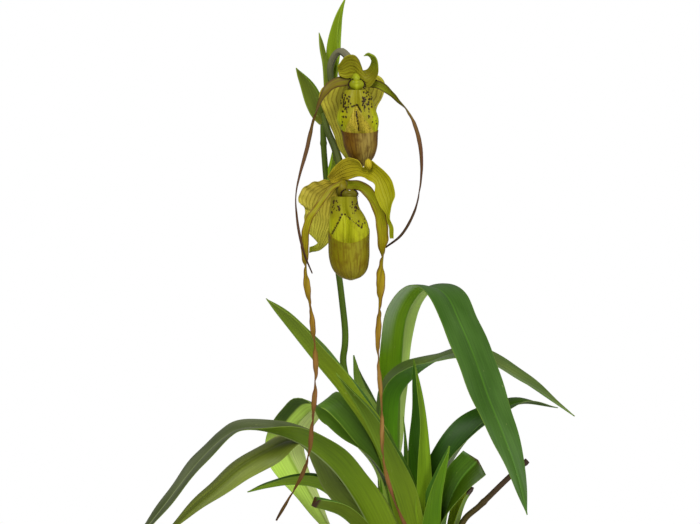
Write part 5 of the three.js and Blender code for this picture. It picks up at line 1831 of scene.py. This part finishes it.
@dataclass(frozen=True)
class Pot(Piece):
    """The nursery pot: a tapered wall, a stepped rim and drain holes."""

    height: float = 118
    rim_radius: float = 68
    base_radius: float = 48
    wall: float = 1.8
    rim_width: float = 3.2
    rim_depth: float = 9
    floor: float = 2.4
    drain_radius: float = 4
    drain_ring: float = 30
    drain_holes: int = 6
    rounding: float = 1.0  # of the rim's edges
    heel: float = 1.6  # rounding of the base's edge
    foot: float = 0.8  # how far the base is hollowed underneath

    SIDES = 144
    DRILL_SIDES = 32
    DRILL_DEPTH = 12

    def profile(self) -> list[tuple[float, float]]:
        """Draws the wall's closed section.

        Returns:
            Pairs of radius and height.
        """
        inner = self.rim_radius - self.rim_width
        shoulder = self.height - self.rim_depth
        slope = (inner - self.base_radius) / shoulder
        lip = self.rim_radius - self.rounding
        section = [(0.01, self.foot), (self.base_radius - 9, self.foot), (self.base_radius - 8, 0)]
        section += self._corner(self.base_radius - self.heel, self.heel, self.heel, -90)
        section += [(self.base_radius + slope * z, z) for z in (14, 15, 60, shoulder - 3)]
        section += [(inner + 0.2, shoulder - 0.6)]
        section += self._corner(lip, shoulder + 1, self.rounding, -90)
        section += [(self.rim_radius, shoulder + 4)]
        section += self._corner(lip, self.height - self.rounding, self.rounding, 0)
        section += self._corner(inner - self.wall + 0.8, self.height - 0.8, 0.8, 90)
        section += [(self.base_radius - self.wall + slope * z, z) for z in (100, 50, 4)]
        section += [(self.base_radius - self.wall - 1.5, self.floor), (0.01, self.floor)]
        return section

    def _corner(
        self, radius: float, height: float, bend: float, start: float,
    ) -> list[tuple[float, float]]:
        """Returns a quarter turn about a centre, from the start in degrees."""
        turns = [math.radians(start + 90 * k / 5) for k in range(6)]
        return [(radius + bend * math.cos(a), height + bend * math.sin(a)) for a in turns]

    def fill(self, shape: Shape) -> None:
        """Adds the wall and the floor.

        Args:
            shape: what they are added to.
        """
        section = np.array(self.profile())
        shape.add_rings(ring(0, 0, section[:, 0], section[:, 1], circle(self.SIDES)[:, None]),
                        joined=True)

    def materials(self) -> list[bpy.types.Material]:
        """Returns the pot's plastic."""
        return [POT_PLASTIC.material()]

    def drill(self, pot: bpy.types.Object) -> None:
        """Cuts the drain holes through the pot's floor.

        Args:
            pot: the built piece.
        """
        cutter = bmesh.new()
        for k in range(self.drain_holes):
            angle = 2 * math.pi * (k + 0.5) / self.drain_holes
            made = bmesh.ops.create_cone(
                cutter, cap_ends=True, segments=self.DRILL_SIDES, depth=self.DRILL_DEPTH * MM,
                radius1=self.drain_radius * MM, radius2=self.drain_radius * MM,
            )
            where = [self.drain_ring * MM * part for part in (math.cos(angle), math.sin(angle), 0)]
            bmesh.ops.translate(cutter, verts=made["verts"], vec=where)
        mesh = bpy.data.meshes.new("drill")
        cutter.to_mesh(mesh)
        cutter.free()
        drill = add_object("drill", mesh)
        cut = pot.modifiers.new("drain_holes", "BOOLEAN")
        cut.object, cut.operation, cut.solver = drill, "DIFFERENCE", "EXACT"
        graph = bpy.context.evaluated_depsgraph_get()
        drilled = bpy.data.meshes.new_from_object(pot.evaluated_get(graph))
        pot.modifiers.clear()
        pot.data = drilled
        bpy.data.objects.remove(drill)


@dataclass(frozen=True)
class BarkMix(Piece):
    """Packed fir bark with loose chips of many sizes on its surface."""

    top: float = 106
    radius: float = 60
    floor: float = 2.8
    base_radius: float = 45
    chips: int = 330
    length: tuple[float, float] = (8, 19)
    seed: int = 41

    SIDES = 72
    CORNERS = 15  # points that a chip's hull is drawn from
    TILTS = (0.5, 0.4, math.pi)  # radians that a chip may turn about each axis
    SINK = -2.6  # the lowest that a chip's middle lies, from the top
    HEAP = 3.4  # how far above that it may lie

    def fill(self, shape: Shape) -> None:
        """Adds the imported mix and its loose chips.

        Args:
            shape: what they are added to.
        """
        angle, top = circle(self.SIDES), self.top - 2
        levels = ((0.6, self.floor), (self.base_radius, self.floor), (self.radius - 1.5, top - 1),
                  (self.radius - 3, top), (30, top), (1, top))
        shape.add_rings(np.array([ring(0, 0, radius, level, angle) for radius, level in levels]),
                        finish=1)
        draw = random.Random(self.seed)
        for _ in range(self.chips):
            reach, heading = math.sqrt(draw.random()), draw.uniform(0, 2 * math.pi)
            reach *= self.radius - 7
            self._add_chip(shape, draw, reach * math.cos(heading), reach * math.sin(heading))

    def materials(self) -> list[bpy.types.Material]:
        """Returns the chips' bark and the crumb between them."""
        return [FIR_BARK.material(), BARK_DUST.material()]

    def _add_chip(self, shape: Shape, draw: random.Random, x: float, y: float) -> None:
        """Adds one chip: the hull of points drawn on a flat block, tilted by chance.

        Args:
            shape: the mix's.
            draw: the source of chance.
            x: the chip's middle.
            y: the same.
        """
        long = draw.uniform(*self.length)
        size = np.array([long, long * draw.uniform(0.45, 0.8), long * draw.uniform(0.22, 0.42)])
        hull = bmesh.new()
        for _ in range(self.CORNERS):
            spot = np.array([draw.uniform(-1, 1) for _ in range(3)])
            spot /= np.abs(spot).max() ** 0.8
            hull.verts.new(spot * size / 2)
        made = bmesh.ops.convex_hull(hull, input=hull.verts)
        loose = [v for v in made["geom_interior"] if isinstance(v, bmesh.types.BMVert)]
        bmesh.ops.delete(hull, geom=loose, context="VERTS")
        hull.verts.index_update()
        points = np.array([v.co[:] for v in hull.verts])
        faces = [[v.index for v in face.verts] for face in hull.faces]
        hull.free()
        for axis, spread in enumerate(self.TILTS):
            angle = draw.uniform(-spread, spread)
            a, b = points[:, (axis + 1) % 3].copy(), points[:, (axis + 2) % 3].copy()
            points[:, (axis + 1) % 3] = a * math.cos(angle) - b * math.sin(angle)
            points[:, (axis + 2) % 3] = a * math.sin(angle) + b * math.cos(angle)
        level = self.top + self.SINK + draw.uniform(0, self.HEAP)
        shape.add_hull(points + np.array([x, y, level]), faces)


@dataclass(frozen=True)
class Rhizome(Piece):
    """The growth bases with their old sheaths, and the roots below them."""

    growths: Points = ((-18, -6, 13, 22), (4, -10, 13, 24), (-10, 14, 13, 24), (20, 2, 12, 22))
    top: float = 110
    roots: tuple[Points, ...] = (
        ((-20, -8, 96), (-36, -20, 78), (-40, -24, 40)),
        ((-14, 16, 94), (-24, 34, 70), (-20, 36, 34)),
        ((6, -12, 94), (12, -34, 74), (8, -38, 36)),
        ((22, 4, 94), (38, 16, 76), (36, 20, 38)),
        ((2, 2, 92), (4, 6, 60), (-2, 2, 26)),
    )
    root_radius: float = 2.2
    sheaths: int = 3
    sheath_thickness: float = 0.44
    seed: int = 12

    SIDES = 40
    LEVELS = 12
    SHEATH_LEVELS = 10
    SHEATH_SPAN = (150, 250)  # degrees that a sheath may reach round its growth
    SHEATH_HEIGHT = 16  # mm
    SHEATH_STEP = 3.5  # mm that each outer one is shorter by
    SHEATH_FOOT = 15  # mm below the top
    ROOT_ROWS = 26
    ROOT_SIDES = 12

    def fill(self, shape: Shape) -> None:
        """Adds the growths, their sheaths and the roots.

        Args:
            shape: what they are added to.
        """
        draw = random.Random(self.seed)
        t = np.linspace(0, 1, self.LEVELS)[:, None]
        for x, y, radius, height in self.growths:
            reach = radius - 2 * t - 1.2 * t**6
            shape.add_rings(ring(x, y, reach, self.top - height * (1 - t), circle(self.SIDES)))
            for k in range(self.sheaths):
                self._add_sheath(shape, draw, x, y, radius - 1.4 + 0.55 * k, k)
        for path in self.roots:
            self._add_root(shape, Path(path))

    def materials(self) -> list[bpy.types.Material]:
        """Returns the old sheaths' material and the roots' skin."""
        return [DRY_SHEATH.material(), ROOT_SKIN.material()]

    def _add_sheath(
        self, shape: Shape, draw: random.Random, x: float, y: float, radius: float, k: int,
    ) -> None:
        """Adds one old sheath: a torn papery sheet wrapped round a growth base.

        Args:
            shape: the rhizome's.
            draw: the source of chance.
            x: the growth's middle.
            y: the same.
            radius: the sheath's, in mm.
            k: its number from the inside; the outer ones are shorter.
        """
        start, span = draw.uniform(0, 2 * math.pi), math.radians(draw.uniform(*self.SHEATH_SPAN))
        t = np.linspace(0, 1, self.SIDES)
        angle = start + span * t
        torn = 5 * np.sin(np.pi * t) + 1.2 * np.sin(t * 31 + k) * t
        crest = self.SHEATH_HEIGHT - self.SHEATH_STEP * k + torn
        levels = np.linspace(0, 1, self.SHEATH_LEVELS)
        reach = radius + 0.5 * levels[:, None] ** 3 + 0.15 * np.sin(angle * 9)
        middle = ring(x, y, reach, self.top - self.SHEATH_FOOT + crest * levels[:, None], angle)
        slim = np.full(middle.shape[:2], self.sheath_thickness / 2)
        shape.add_sheet(middle, slim, slim, span * radius / 2, 2 * t[None, :] - 1, levels, 1)

    def _add_root(self, shape: Shape, path: Path) -> None:
        """Adds one thick root that thins towards its tip.

        Args:
            shape: the rhizome's.
            path: the root's.
        """
        u = np.linspace(0, 1, self.ROOT_ROWS)
        tangents = path.tangents(u)
        normals = unit(np.cross(tangents, [1.0, 0.3, 0.1]))
        radius = self.root_radius * (1 - 0.4 * u) * (1 + 0.1 * np.sin(u * 60))
        shape.add_rings(tube(path.points(u), normals, np.cross(tangents, normals),
                             radius[:, None], circle(self.ROOT_SIDES)), finish=1)


# ---- studio


@dataclass(frozen=True)
class Studio:
    """A pale floor, soft light all round and the camera."""

    target: Vector = (-43.4, 0, 325)
    distance: float = 2041
    elevation: float = 3
    lens: float = 150
    floor_radius: float = 640
    sky: float = 1.0  # brightness of the backdrop
    room: float = 0.36  # brightness of the light that comes from all round

    SENSOR = 36
    REACH = 100  # metres that the camera sees

    def build(self) -> None:
        """Sets the floor, the lights and the camera."""
        scene = bpy.context.scene
        scene.view_settings.view_transform = "Standard"
        scene.world = self._world()
        self._floor()
        self._lamp("key", (-400, -1200, 1500), 800, 28)
        self._lamp("fill", (1000, -900, 900), 900, 12)
        self._camera(scene)

    def _world(self) -> bpy.types.World:
        """Makes the white backdrop, which lights the plant more softly than it shows.

        Returns:
            The backdrop.
        """
        world = bpy.data.worlds.new("soft_white")
        world.use_nodes = True
        tree = world.node_tree
        seen = add_node(tree, "LightPath").outputs["Is Camera Ray"]
        strength = add_node(tree, "MapRange", inputs={0: seen, 3: self.room, 4: self.sky})
        feed(tree, tree.nodes["Background"], {"Color": (1, 1, 1, 1), "Strength": strength})
        return world

    def _floor(self) -> None:
        """Lays the floor disc."""
        board = bmesh.new()
        bmesh.ops.create_circle(board, cap_ends=True, segments=96, radius=self.floor_radius * MM)
        mesh = bpy.data.meshes.new("floor")
        board.to_mesh(mesh)
        board.free()
        mesh.materials.append(STUDIO_BOARD.material())
        add_object("floor", mesh)

    def _lamp(self, name: str, place: Vector, size: float, watts: float) -> None:
        """Hangs one soft lamp that shines at the plant.

        Args:
            name: what the lamp is called.
            place: where it hangs.
            size: how wide it is.
            watts: how bright it is.
        """
        light = bpy.data.lights.new(name, "AREA")
        light.shape, light.size, light.energy = "DISK", size * MM, watts
        lamp = add_object(name, light)
        lamp.location = [v * MM for v in place]
        x, y, z = np.array(self.target) - np.array(place)
        lamp.rotation_euler = (math.atan2(math.hypot(x, y), -z), 0, math.atan2(y, x) - math.pi / 2)

    def _camera(self, scene: bpy.types.Scene) -> None:
        """Sets the camera in front of the plant, a little above it.

        Args:
            scene: the one that it looks at.
        """
        data = bpy.data.cameras.new("camera")
        data.lens, data.sensor_width, data.clip_end = self.lens, self.SENSOR, self.REACH
        camera = add_object("camera", data)
        tilt = math.radians(self.elevation)
        back = np.array([0, -math.cos(tilt), math.sin(tilt)]) * self.distance
        camera.location = (np.array(self.target) + back) * MM
        camera.rotation_euler = (math.pi / 2 - tilt, 0, 0)
        scene.camera = camera


def main() -> None:
    """Builds the plant, its pot and the studio."""
    logging.basicConfig(level=logging.INFO, format="%(name)s %(message)s")
    Studio().build()
    pot = Pot()
    pot.drill(pot.build(Label("pot_moulding", "pot", "pot")))
    BarkMix().build(Label("potting_mix_chips", "potting_mix", "bark_mix"))
    Rhizome().build(Label("rhizome_growths", "rhizome", "rhizome"))
    for node, (slot, stalk) in STALKS.items():
        stalk.build(Label(f"{node}_stalk", node, slot))
    for flower in (UPPER_FLOWER, LOWER_FLOWER):
        flower.build()
    for node, (slot, blade) in (BRACTS | LEAVES).items():
        blade.build(Label(f"{node}_blade", node, slot))


if __name__ == "__main__":
    main()
